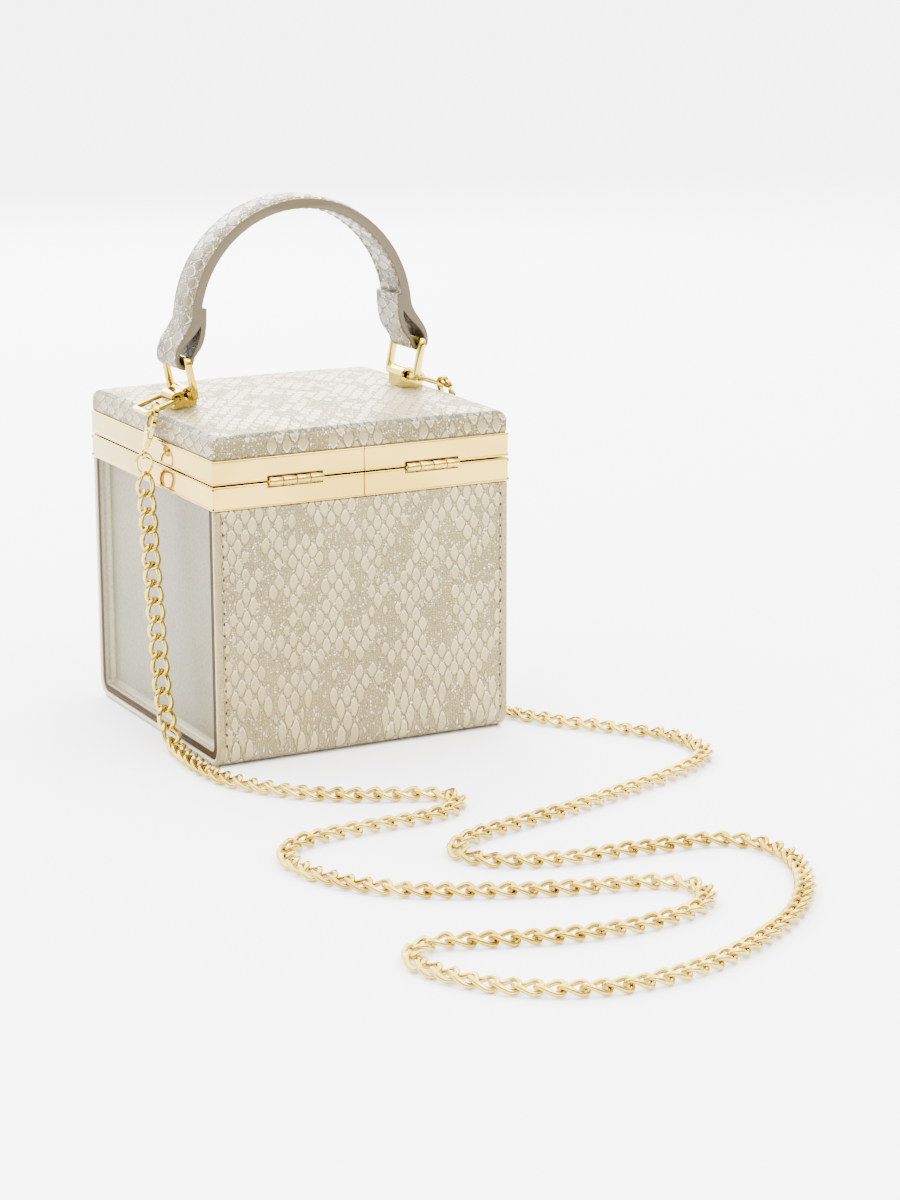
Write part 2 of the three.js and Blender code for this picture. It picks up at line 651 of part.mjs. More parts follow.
// The snap clasp's body: a hook, a housing for the lever and an eye for the oval ring
function claspBody() {
  const outline = new THREE.Shape();
  const cheek = CLASP_RADIUS - HOUSING_INSET;
  outline.absarc(0, hookCentre, CLASP_RADIUS, -noseDip, Math.PI);
  outline.lineTo(-CLASP_RADIUS, housingTop);
  outline.lineTo(-NECK_HALF_WIDTH, -CLASP_LENGTH + NECK_RISE);
  outline.absarc(0, -CLASP_LENGTH, EYE_RADIUS, 0.75 * Math.PI, 2.25 * Math.PI);
  outline.lineTo(NECK_HALF_WIDTH, -CLASP_LENGTH + NECK_RISE);
  outline.lineTo(cheek, housingFoot);
  outline.lineTo(cheek, housingTop);
  outline.lineTo(HOUSING_NOTCH, housingTop);
  outline.absarc(0, housingTop + HOUSING_NOTCH, innerHook, -0.3 * Math.PI, -Math.PI, true);
  outline.absarc(0, hookCentre, innerHook, Math.PI, -noseDip, true);
  outline.closePath();
  const body = new THREE.ExtrudeGeometry(outline, {
    depth: CLASP_THICK - 2 * CLASP_EDGE, bevelEnabled: true, bevelThickness: CLASP_EDGE,
    bevelSize: CLASP_EDGE, bevelOffset: -CLASP_EDGE, bevelSegments: 1, curveSegments: 9,
  });
  body.translate(0, 0, -(CLASP_THICK / 2 - CLASP_EDGE));
  const slotHalf = LEVER_THICK / 2 + CLEARANCE;
  const slot = box(LEVER_SLOT_START, CLASP_RADIUS + 1, housingFoot - LEVER_SLOT_FOOT,
    housingTop + LEVER_SLOT_HEAD, -slotHalf, slotHalf);
  const pinHole = boreFor(LEVER_PIN, CLASP_THICK + 2);
  pinHole.rotateX(Math.PI / 2).translate(leverPivot.x, leverPivot.y, 0);
  const eyeBore = new THREE.CylinderGeometry(EYE_BORE, EYE_BORE, CLASP_THICK + 2, 12);
  eyeBore.rotateX(Math.PI / 2).translate(0, -CLASP_LENGTH, 0);
  const eyeTop = -CLASP_LENGTH + EYE_RADIUS + CLEARANCE;
  const thin = [-1, 1].map((face) => {
    const near = face * EYE_THICK / 2;
    const far = face * (CLASP_THICK / 2 + 1);
    return box(-EYE_RADIUS - 1, EYE_RADIUS + 1, -CLASP_LENGTH - EYE_RADIUS - 1, eyeTop,
      Math.min(near, far), Math.max(near, far));
  });
  return cut(body, slot, pinHole, eyeBore, ...thin).applyMatrix4(claspFrame());
}

// The lever that closes the hook, with its pivot pin
function claspLever() {
  const tip = hookCentre - CLASP_RADIUS * Math.sin(noseDip) - LEVER_TIP_GAP;
  const outside = CLASP_RADIUS - LEVER_INSET;
  const inside = CLASP_RADIUS - CLASP_WIRE - LEVER_INSET;
  const heel = housingFoot + LEVER_SLOT_FOOT;
  const middle = (tip + housingTop) / 2;
  const outline = new THREE.Shape();
  outline.moveTo(inside, tip);
  outline.lineTo(inside, housingTop + LEVER_HIP);
  outline.lineTo(inside - LEVER_HIP_STEP, housingTop - LEVER_WAIST);
  outline.lineTo(inside - LEVER_HEEL_INSET, heel);
  outline.lineTo(outside - LEVER_WAIST, heel);
  outline.lineTo(outside, housingTop + LEVER_WAIST);
  outline.quadraticCurveTo(outside + LEVER_BULGE, middle, outside, tip);
  outline.closePath();
  const blade = new THREE.ExtrudeGeometry(outline, { depth: LEVER_THICK, bevelEnabled: false, curveSegments: 6 });
  blade.translate(0, 0, -LEVER_THICK / 2);
  const pin = new THREE.CylinderGeometry(LEVER_PIN, LEVER_PIN, CLASP_THICK - 2 * LEVER_PIN_SHY, 10);
  pin.rotateX(Math.PI / 2).translate(leverPivot.x, leverPivot.y, 0);
  return join(blade, pin).applyMatrix4(claspFrame());
}

// The centre of the eye in which the right-hand oval ring hangs
function eyeCentre() {
  return new THREE.Vector3(0, -CLASP_LENGTH, 0).applyMatrix4(claspFrame());
}

// The oval ring between clasp and chain, hanging upright through the clasp's eye
function ovalRing() {
  const eye = eyeCentre();
  const through = new THREE.Vector3().setFromMatrixColumn(claspFrame(), 2);
  const across = new THREE.Vector3(through.x, through.y, 0).normalize();
  const up = new THREE.Vector3(0, 0, 1);
  const normal = new THREE.Vector3().crossVectors(across, up);
  const ring = new THREE.TorusGeometry(OVAL_HALF_WIDTH, OVAL_WIRE, 6, 20);
  const ratio = OVAL_HALF_HEIGHT / OVAL_HALF_WIDTH;
  ring.scale(1, ratio, 1);
  ring.applyMatrix4(new THREE.Matrix4().makeBasis(across, up, normal));
  return ring.translate(eye.x, eye.y, eye.z - OVAL_HALF_HEIGHT);
}

// The chain strap as one closed tube along its route
function chainStrap() {
  const eye = eyeCentre();
  const ringFoot = eye.z - 2 * OVAL_HALF_HEIGHT - OVAL_WIRE * OVAL_HALF_HEIGHT / OVAL_HALF_WIDTH - CLEARANCE;
  const start = new THREE.Vector3(-eye.x, eye.y, ringFoot);
  const end = new THREE.Vector3(eye.x, eye.y, ringFoot);
  const points = CHAIN_ROUTE.map(([x, y, z]) => new THREE.Vector3(x, y, z));
  const route = new THREE.CatmullRomCurve3([start, ...points, end]);
  const section = new THREE.Shape();
  section.absarc(0, 0, CHAIN_RADIUS, 0, 2 * Math.PI);
  const outline = new THREE.Shape(section.getSpacedPoints(CHAIN_SIDES).slice(0, -1));
  return new THREE.ExtrudeGeometry(outline, { steps: CHAIN_STEPS, extrudePath: route });
}

// The catch on the clasp side, fixed to the upper band and lapping over the lower one
function frontCatch() {
  const level = upperBandTop - CATCH_INSET - CATCH_HEIGHT / 2;
  const plate = alongY(roundedRect(CATCH_WIDTH / 2, CATCH_HEIGHT / 2, CATCH_CORNER), 0, CATCH_THICK, 3);
  return plate.translate(0, halfDepth + CLEARANCE, level);
}

add('wrap_panel', wrapPanel(), embossedLeather());
add('right_gusset', gusset(), smoothLeather());
add('left_gusset', mirrored(gusset()), smoothLeather());
add('lower_band', frameBand(BODY_HEIGHT, lowerBandTop - BAND_WALL), gold());
add('upper_band', frameBand(upperBandBottom, upperBandBottom), gold());
add('lid_cover', lidShell(), embossedLeather());
for (const [word, side] of [['left', -1], ['right', 1]]) {
  add(`${word}_hinge_box_leaf`, hingeLeaf(side, -1, 0), gold());
  add(`${word}_hinge_lid_leaf`, hingeLeaf(side, 1, 1), gold());
  add(`${word}_hinge_pin`, hingePin(side), gold());
}
for (const [word, place] of [['left', mirrored], ['right', (geometry) => geometry]]) {
  add(`${word}_bracket`, place(bracket()), gold(0xe3cd86));
  add(`${word}_handle_ring`, place(handleRing()), gold(0xe3cd86));
  add(`${word}_chain_ring`, place(chainRing()), gold(0xe3cd86));
  add(`${word}_clasp_body`, place(claspBody()), gold(0xe3cd86));
  add(`${word}_clasp_lever`, place(claspLever()), gold(0xe3cd86));
  add(`${word}_oval_ring`, place(ovalRing()), gold());
}
add('handle', handle(), embossedLeather());
add('front_catch', frontCatch(), gold());
add('chain_strap', chainStrap(), gold());

export default bag;
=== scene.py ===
import math

import bmesh
import bpy
import numpy as np
from mathutils import Matrix, Vector


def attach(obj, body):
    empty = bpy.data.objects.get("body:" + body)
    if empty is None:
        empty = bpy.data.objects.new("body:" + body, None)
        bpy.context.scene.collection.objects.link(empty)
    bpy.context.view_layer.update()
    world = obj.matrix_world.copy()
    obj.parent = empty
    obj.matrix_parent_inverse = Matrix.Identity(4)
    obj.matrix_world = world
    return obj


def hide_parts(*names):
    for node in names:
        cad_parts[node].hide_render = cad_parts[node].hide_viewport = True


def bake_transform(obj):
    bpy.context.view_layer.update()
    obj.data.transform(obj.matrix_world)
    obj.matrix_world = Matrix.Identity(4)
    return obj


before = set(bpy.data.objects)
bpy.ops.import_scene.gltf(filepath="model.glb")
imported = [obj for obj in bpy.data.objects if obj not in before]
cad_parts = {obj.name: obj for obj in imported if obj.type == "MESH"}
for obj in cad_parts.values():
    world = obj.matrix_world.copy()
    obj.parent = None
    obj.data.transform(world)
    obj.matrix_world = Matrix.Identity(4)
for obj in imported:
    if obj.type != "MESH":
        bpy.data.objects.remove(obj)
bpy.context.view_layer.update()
MM = 0.001


# Camera, a little above the lid, looking at the hinge side and the left gusset through a
# long lens. The picture is 900 by 1200.

lens_pixels = 3005.3
camera = bpy.data.objects.new("camera", bpy.data.cameras.new("camera"))
bpy.context.scene.collection.objects.link(camera)
camera.data.sensor_fit = "VERTICAL"
camera.data.sensor_height = 36
camera.data.lens = lens_pixels * 36 / 1200
camera.data.clip_end = 300
camera.matrix_world = (
    Matrix.Translation(Vector((-486.4, -1067.3, 334.3)) * MM)
    @ Matrix.Rotation(math.radians(-27.48), 4, "Z")
    @ Matrix.Rotation(math.radians(90 - 13.84), 4, "X")
    @ Matrix.Rotation(math.radians(-0.18), 4, "Z")
)
bpy.context.scene.camera = camera


# The set: a seamless white sheet under and behind the bag, lit by large soft boxes at the
# left, at the right and overhead, so that the plated metal mirrors broad pale areas.

class Field:
    """One output of a shader node, on which plain arithmetic makes further nodes."""

    def __init__(self, tree, socket):
        self.tree = tree
        self.socket = socket

    def node(self, kind, inputs=None, out=0, **settings):
        made = self.tree.nodes.new(kind)
        for key, value in settings.items():
            setattr(made, key, value)
        for key, value in (inputs or {}).items():
            if isinstance(value, Field):
                self.tree.links.new(value.socket, made.inputs[key])
            else:
                made.inputs[key].default_value = value
        return Field(self.tree, made.outputs[out])

    def maths(self, operation, *values):
        return self.node("ShaderNodeMath", dict(enumerate(values)), operation=operation)

    def __add__(self, other):
        return self.maths("ADD", self, other)

    def __sub__(self, other):
        return self.maths("SUBTRACT", self, other)

    def __mul__(self, other):
        return self.maths("MULTIPLY", self, other)

    def __truediv__(self, other):
        return self.maths("DIVIDE", self, other)

    def __rsub__(self, other):
        return self.maths("SUBTRACT", other, self)

    __radd__ = __add__
    __rmul__ = __mul__

    def lowest(self, other):
        return self.maths("MINIMUM", self, other)

    def highest(self, other):
        return self.maths("MAXIMUM", self, other)

    def size(self):
        return self.maths("ABSOLUTE", self)

    def raised(self, power):
        return self.maths("POWER", self, power)

    def whole(self):
        return self.maths("FLOOR", self)

    def part(self):
        return self.maths("FRACT", self)

    def ramp(self, low, high):
        return self.node("ShaderNodeMapRange", {0: self, 1: low, 2: high, 3: 0, 4: 1},
                         interpolation_type="SMOOTHSTEP")

    def pick(self, first, second):
        return self.node("ShaderNodeMix", {0: self, 6: first, 7: second}, out=2, data_type="RGBA")


def material(name, look=None, **constants):
    """A Principled material. look gets a Field of its coordinates and returns the inputs that vary."""
    made = bpy.data.materials.new(name)
    made.use_nodes = True
    tree = made.node_tree
    shader = tree.nodes["Principled BSDF"]
    for key, value in constants.items():
        shader.inputs[key.replace("_", " ")].default_value = value
    if look:
        for key, value in look(Field(tree, None)).items():
            tree.links.new(value.socket, shader.inputs[key])
    return made


def colour(red, green, blue):
    """A display colour as the linear one that shaders take."""
    def linear(value):
        share = value / 255
        return share / 12.92 if share <= 0.04045 else ((share + 0.055) / 1.055) ** 2.4
    return (linear(red), linear(green), linear(blue), 1.0)


def mesh_object(name, points, faces, materials, smooth=40):
    """A mesh at the origin, made from points in millimetres."""
    mesh = bpy.data.meshes.new(name)
    mesh.from_pydata([tuple(float(c) * MM for c in p) for p in points], [], faces)
    for made in materials:
        mesh.materials.append(made)
    piece = bpy.data.objects.new(name, mesh)
    bpy.context.scene.collection.objects.link(piece)
    if smooth:
        outward = bmesh.new()
        outward.from_mesh(mesh)
        bmesh.ops.recalc_face_normals(outward, faces=outward.faces)
        outward.to_mesh(mesh)
        outward.free()
        mesh.shade_smooth()
        mesh.set_sharp_from_angle(angle=math.radians(smooth))
    return piece


def soft_box(name, place, target, size, power, tint=(1, 1, 1)):
    light = bpy.data.lights.new(name, "AREA")
    light.shape = "RECTANGLE"
    light.size, light.size_y = size
    light.energy = power
    light.color = tint
    lamp = bpy.data.objects.new(name, light)
    bpy.context.scene.collection.objects.link(lamp)
    lamp.location = place
    lamp.rotation_euler = (Vector(target) - Vector(place)).to_track_quat("-Z", "Y").to_euler()


paper = material("white_paper", Base_Color=colour(250, 250, 250), Roughness=0.9)
paper.node_tree.nodes["Principled BSDF"].inputs["Specular IOR Level"].default_value = 0.1
floor = mesh_object("floor", [(-90000, -90000, 0), (90000, -90000, 0), (90000, 90000, 0), (-90000, 90000, 0)],
                    [(0, 1, 2, 3)], [paper], smooth=0)
world = bpy.data.worlds.new("studio")
bpy.context.scene.world = world
world.use_nodes = True
sky = Field(world.node_tree, None)
heading = sky.node("ShaderNodeSeparateXYZ", {0: sky.node("ShaderNodeTexCoord")})
height = Field(world.node_tree, heading.socket.node.outputs[2])
behind = Field(world.node_tree, heading.socket.node.outputs[1]) * 0.89 + heading * 0.46
dark_room = (0 - behind).ramp(0.05, 0.5) * (1 - height.ramp(0.12, 0.4))
strength = 1.1 - dark_room * 0.95 + height.ramp(0.1, 0.95) * 6.8 + behind.ramp(0.0, 0.9) * 6.0
gaps = (1 - (height - 0.5).size().ramp(0.03, 0.07)).highest(1 - (heading - 0.3).size().ramp(0.03, 0.07))
strength = strength * (1 - gaps * 0.85)
world.node_tree.links.new(strength.socket, world.node_tree.nodes["Background"].inputs["Strength"])
world.node_tree.nodes["Background"].inputs["Color"].default_value = (1, 1, 1, 1)
soft_box("key", (0.5, -1.0, 1.7), (0, 0, 0.08), (0.9, 0.9), 40)
soft_box("side", (-1.5, 0.3, 1.0), (0, 0, 0.08), (0.9, 0.9), 16)
soft_box("top", (0.3, 1.5, 0.9), (0, 0, 0.12), (1.4, 0.8), 60)


# The wrap panel: one piece of metallic leather embossed with a snake's scales, 2.4 mm thick
# with its backing. It runs down the hinge side, under the base and up the clasp side. Its
# raw edges are rolled and pressed flat and its top edge is clamped in the frame.

half_x, half_y = 62.0, 62.0
body_top = 99.6
sheet_wall = 2.4
tongue_outer, tongue_inner, tongue_top = 61.2, 59.6, 107.6
wrap_corner = 8.0
scale_width, scale_length = 5.5, 7.7


def leather_look(base, line, glint, shine, scale_size=1.0, mottle_and_reflection=(20.0, 0.5), hem=0):
    """Embossing: long staggered scales in patches, with small round grains between them.
    Beyond hem, in millimetres from the middle, the leather is pressed flat along its edge."""
    def look(field):
        skin = field.node("ShaderNodeUVMap", uv_map="skin")
        flow = field.node("ShaderNodeTexNoise", {"Vector": skin, "Scale": 60.0, "Detail": 1.0}, out=1)
        warp = field.node("ShaderNodeVectorMath", {0: flow, 1: (0.5, 0.5, 0.5)}, operation="SUBTRACT")
        moved = field.node("ShaderNodeVectorMath", {0: warp, 1: (0.0022, 0.0032, 0), 2: skin},
                           operation="MULTIPLY_ADD")
        axes = field.node("ShaderNodeSeparateXYZ", {0: moved})
        across = axes * (1000 / (scale_width * scale_size))
        along = Field(field.tree, axes.socket.node.outputs[1]) * (1000 / (scale_length * scale_size))
        rise, fall = across + along, across - along
        right, left = rise.part(), fall.part()
        sideways, upward = (right + left - 1).size(), right - left
        reach = (sideways / 0.68).raised(1.4) + (upward.size() / 0.82).raised(1.4)
        centre = field.node("ShaderNodeCombineXYZ", {0: rise.whole() + fall.whole(), 1: rise.whole() - fall.whole()})
        patch = field.node("ShaderNodeTexNoise", {"Vector": centre, "Scale": 0.23, "Detail": 1.0})
        chance = field.node("ShaderNodeTexWhiteNoise", {"Vector": centre}, noise_dimensions="3D")
        size = (patch + (chance - 0.5) * 0.2).ramp(0.4, 0.5) * 1.1 - 0.1
        grain = {"Vector": moved, "Scale": 1000 / 1.0, "Randomness": 0.95}
        grain_edge = field.node("ShaderNodeTexVoronoi", grain, feature="DISTANCE_TO_EDGE", voronoi_dimensions="2D")
        grain_id = field.node("ShaderNodeTexVoronoi", grain, out=1, feature="F1", voronoi_dimensions="2D")
        grain_tone = field.node("ShaderNodeSeparateColor", {0: grain_id})
        fine = field.node("ShaderNodeTexNoise", {"Vector": skin, "Scale": 2400.0, "Detail": 2.0})
        # mottle_and_reflection sets the fineness and strength of the broad tone: random tone on most leathers. On the
        # handle, where it is strong and fine, it paints dark reflections.
        broad = field.node("ShaderNodeTexNoise", {"Vector": skin, "Scale": mottle_and_reflection[0], "Detail": 2.0})
        if hem:
            pressed = (field.node("ShaderNodeSeparateXYZ", {0: skin}).size() * 1000).ramp(hem, hem + 0.3)
            # crease_shade is painted shade: a dark line along the crease where the pressed strip starts.
            crease_shade = pressed * (1 - pressed) * 3
        else:
            pressed, crease_shade = 0, 0
        inside = size - reach - pressed * 3
        top = inside.ramp(-0.08, 0.14)
        rim = top * (1 - inside.ramp(0.1, 0.45))
        outline = inside.ramp(-0.24, -0.1) * (1 - inside.ramp(-0.06, 0.06))
        pebble = grain_edge.ramp(0.03, 0.3)
        height = top * 0.95 + (1 - top) * pebble * (0.25 + grain_tone * 0.5) + fine * 0.1
        groove = (1 - top) * (1 - pebble * (0.35 + grain_tone * 0.6)) * (1 - pressed)
        # upward * rim darkens the upper rims of the scales and lightens the lower ones: painted shade and painted light
        # standing in for the relief.
        tone = (pressed * 0.2 + crease_shade + groove * 0.5 + outline * 0.34 + upward * rim * 0.3 + top * (chance - 0.42) * 0.34
                + (broad - 0.5) * mottle_and_reflection[1] + (fine - 0.5) * 0.35)
        painted = tone.highest(0.0).lowest(1.0).pick(base, line)
        # glint_spots are painted glints: white specks on the grains and fine spots. The lower rims of the scales take a
        # painted highlight in the glint colour.
        glint_spots = (1 - top) * (1 - pressed) * pebble * grain_tone.ramp(0.62, 1.0) * 0.62 + fine.ramp(0.62, 0.72) * 0.4
        painted = (glint_spots + (0 - upward).highest(0.0) * rim * 0.8).lowest(1.0).pick(painted, glint)
        bump = field.node("ShaderNodeBump", {"Distance": 0.0008, "Height": height})
        rough = shine + groove * 0.2 - glint_spots * 0.12 + fine * 0.08
        return {"Base Color": painted, "Roughness": rough, "Normal": bump}
    return look


scale_leather = material(
    "scale_leather", leather_look(colour(170, 153, 106), colour(80, 73, 42), colour(246, 240, 214), 0.34, hem=59.2),
    Metallic=0.55)
backing = material("leather_backing", Base_Color=colour(196, 184, 158), Roughness=0.85)
rolled_edge = material("rolled_edge", Base_Color=colour(168, 158, 128), Roughness=0.36, Metallic=0.4)


def unwrap(piece, place):
    """Gives each face corner its place on the flat skin, in metres. place gets a point and a normal in mm."""
    mesh = piece.data
    layer = mesh.uv_layers.new(name="skin")
    for face in mesh.polygons:
        for corner in face.loop_indices:
            point = mesh.vertices[mesh.loops[corner].vertex_index].co / MM
            spot = place(point, face.normal)
            layer.data[corner].uv = (spot[0] * MM, spot[1] * MM)


def wrap_path():
    """Pairs of outer and inner points of the panel's section, as (y, z), from hinge to clasp side."""
    flat = half_y - wrap_corner
    inner = half_y - sheet_wall
    pairs = [((-tongue_outer, tongue_top), (-tongue_inner, tongue_top)),
             ((-tongue_outer, body_top), (-tongue_inner, body_top)),
             ((-half_y, body_top), (-inner, body_top - 0.2))]
    pairs += [((-half_y, z), (-inner, z)) for z in (75, 50, 25)]
    for i in range(13):
        angle = math.pi * (1 + i / 24)
        small = wrap_corner - sheet_wall
        pairs.append(((-flat + wrap_corner * math.cos(angle), wrap_corner * (1 + math.sin(angle))),
                      (-flat + small * math.cos(angle), wrap_corner + small * math.sin(angle))))
    mirrored = [((-a[0], a[1]), (-b[0], b[1])) for a, b in reversed(pairs)]
    return pairs + [((0, 0), (0, sheet_wall))] + mirrored


def build_wrap():
    pairs = wrap_path()
    roll = 0.9
    stations = []
    for side in (-1, 1):
        steps = [(half_x - roll * (1 - math.sin(a)), roll * (1 - math.cos(a)))
                 for a in (i * math.pi / 12 for i in range(7))]
        steps = [(x, inset) for x, inset in steps]
        chosen = steps if side > 0 else steps[::-1]
        stations += [(side * x, inset) for x, inset in chosen]
    normals = []
    for i, (outer, inner) in enumerate(pairs):
        span = Vector((inner[0] - outer[0], inner[1] - outer[1])).normalized()
        normals.append(span)
    points, faces, tags = [], [], []
    count = len(pairs)
    for x, inset in stations:
        for (outer, inner), n in zip(pairs, normals):
            shift = inset if outer[1] < body_top + 1 else min(inset, 0.4)
            reach = x if outer[1] < body_top + 0.01 else max(-tongue_outer, min(tongue_outer, x))
            points.append((reach, outer[0] + n[0] * shift, outer[1] + n[1] * shift))
        for (outer, inner), n in zip(reversed(pairs), reversed(normals)):
            shift = inset if outer[1] < body_top + 1 else min(inset, 0.4)
            reach = x if outer[1] < body_top + 0.01 else max(-tongue_outer, min(tongue_outer, x))
            points.append((reach, inner[0] - n[0] * shift, inner[1] - n[1] * shift))
    ring = 2 * count
    for s in range(len(stations) - 1):
        for i in range(ring):
            j = (i + 1) % ring
            a, b = s * ring, (s + 1) * ring
            faces.append((a + i, a + j, b + j, b + i))
            tags.append(1 if i >= count - 1 and i < ring - 1 else 0)
    last = (len(stations) - 1) * ring
    for i in range(count - 1):
        faces.append((i, ring - 1 - i, ring - 2 - i, i + 1))
        faces.append((last + i, last + i + 1, last + ring - 2 - i, last + ring - 1 - i))
        tags += [2, 2]
    piece = mesh_object("wrap_panel_leather", points, faces, [scale_leather, backing, rolled_edge])
    for face, tag in zip(piece.data.polygons, tags):
        face.material_index = tag
    lengths = {}
    travelled = 0.0
    previous = pairs[0][0]
    for outer, _ in pairs:
        travelled += math.hypot(outer[0] - previous[0], outer[1] - previous[1])
        lengths[(round(outer[0], 3), round(outer[1], 3))] = travelled
        previous = outer
    base_run = lengths[(0, 0)]

    def place(point, _):
        y, z = point.y, point.z
        if z > wrap_corner:
            run = base_run - (half_y - wrap_corner) - wrap_corner * math.pi / 2 - (z - wrap_corner)
            return point.x, (run if y < 0 else 2 * base_run - run)
        return point.x, base_run + y * (1 + 0.16 * (abs(y) > half_y - wrap_corner))
    unwrap(piece, place)
    return piece


def facing_out(piece):
    made = bmesh.new()
    made.from_mesh(piece.data)
    bmesh.ops.recalc_face_normals(made, faces=made.faces)
    made.to_mesh(piece.data)
    made.free()
    return piece


wrap = facing_out(build_wrap())
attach(wrap, "box")
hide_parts("wrap_panel")


# Stitches: short tan threads laid in punched holes, 4.3 mm apart and 3.4 mm from the edges
# of the wrap panel. One Geometry Nodes group sets out every row and all repeated pieces.

def copies_group():
    tree = bpy.data.node_groups.new("copies_at_points", "GeometryNodeTree")
    face = tree.interface
    face.new_socket("Geometry", in_out="INPUT", socket_type="NodeSocketGeometry")
    face.new_socket("Piece", in_out="INPUT", socket_type="NodeSocketObject")
    face.new_socket("Looseness", in_out="INPUT", socket_type="NodeSocketFloat")
    face.new_socket("Seed", in_out="INPUT", socket_type="NodeSocketInt")
    face.new_socket("Material", in_out="INPUT", socket_type="NodeSocketMaterial")
    face.new_socket("Geometry", in_out="OUTPUT", socket_type="NodeSocketGeometry")

    def node(kind, **settings):
        made = tree.nodes.new(kind)
        for key, value in settings.items():
            setattr(made, key, value)
        return made
    start, end = node("NodeGroupInput"), node("NodeGroupOutput")
    along = node("GeometryNodeInputNamedAttribute", data_type="FLOAT_VECTOR")
    along.inputs["Name"].default_value = "along"
    facing = node("GeometryNodeInputNamedAttribute", data_type="FLOAT_VECTOR")
    facing.inputs["Name"].default_value = "facing"
    turn = node("FunctionNodeAxesToRotation", primary_axis="X", secondary_axis="Z")
    piece = node("GeometryNodeObjectInfo", transform_space="ORIGINAL")
    piece.inputs["As Instance"].default_value = True
    chance = node("FunctionNodeRandomValue", data_type="FLOAT_VECTOR")
    low = node("ShaderNodeVectorMath", operation="SCALE")
    low.inputs[0].default_value = (-1, -1, -1)
    high = node("ShaderNodeVectorMath", operation="SCALE")
    high.inputs[0].default_value = (1, 1, 1)
    loose = node("FunctionNodeEulerToRotation")
    both = node("FunctionNodeRotateRotation", rotation_space="LOCAL")
    place = node("GeometryNodeInstanceOnPoints")
    real = node("GeometryNodeRealizeInstances")
    paint = node("GeometryNodeSetMaterial")
    joined = [
        (start.outputs["Piece"], piece.inputs["Object"]),
        (along.outputs["Attribute"], turn.inputs["Primary Axis"]),
        (facing.outputs["Attribute"], turn.inputs["Secondary Axis"]),
        (start.outputs["Looseness"], low.inputs["Scale"]),
        (start.outputs["Looseness"], high.inputs["Scale"]),
        (low.outputs[0], chance.inputs["Min"]),
        (high.outputs[0], chance.inputs["Max"]),
        (start.outputs["Seed"], chance.inputs["Seed"]),
        (chance.outputs[0], loose.inputs[0]),
        (turn.outputs[0], both.inputs["Rotation"]),
        (loose.outputs[0], both.inputs["Rotate By"]),
        (start.outputs["Geometry"], place.inputs["Points"]),
        (piece.outputs["Geometry"], place.inputs["Instance"]),
        (both.outputs[0], place.inputs["Rotation"]),
        (place.outputs[0], real.inputs[0]),
        (real.outputs[0], paint.inputs["Geometry"]),
        (start.outputs["Material"], paint.inputs["Material"]),
        (paint.outputs[0], end.inputs[0]),
    ]
    for a, b in joined:
        tree.links.new(a, b)
    return tree


copies_tree = copies_group()


def copies(name, pattern, places, paint, looseness=0.0, seed=3):
    """One mesh of the pattern piece set at each (point, along, facing), in mm. Its x axis goes along."""
    mesh = bpy.data.meshes.new(name)
    mesh.from_pydata([tuple(float(c) * MM for c in p[0]) for p in places], [], [])
    for column, label in ((1, "along"), (2, "facing")):
        layer = mesh.attributes.new(label, "FLOAT_VECTOR", "POINT")
        layer.data.foreach_set("vector", [float(c) for p in places for c in p[column]])
    holder = bpy.data.objects.new(name + "_points", mesh)
    bpy.context.scene.collection.objects.link(holder)
    modifier = holder.modifiers.new("copies", "NODES")
    modifier.node_group = copies_tree
    identifiers = {item.name: item.identifier for item in copies_tree.interface.items_tree
                   if item.in_out == "INPUT"}
    modifier[identifiers["Piece"]] = pattern
    modifier[identifiers["Looseness"]] = looseness
    modifier[identifiers["Seed"]] = seed
    modifier[identifiers["Material"]] = paint
    holder.update_tag()
    bpy.context.view_layer.update()
    evaluated = holder.evaluated_get(bpy.context.evaluated_depsgraph_get())
    made = bpy.data.meshes.new_from_object(evaluated)
    made.name = name
    made.materials.clear()
    made.materials.append(paint)
    made.polygons.foreach_set("material_index", [0] * len(made.polygons))
    piece = bpy.data.objects.new(name, made)
    bpy.context.scene.collection.objects.link(piece)
    bpy.data.objects.remove(holder)
    made.shade_smooth()
    made.set_sharp_from_angle(angle=math.radians(50))
    return piece


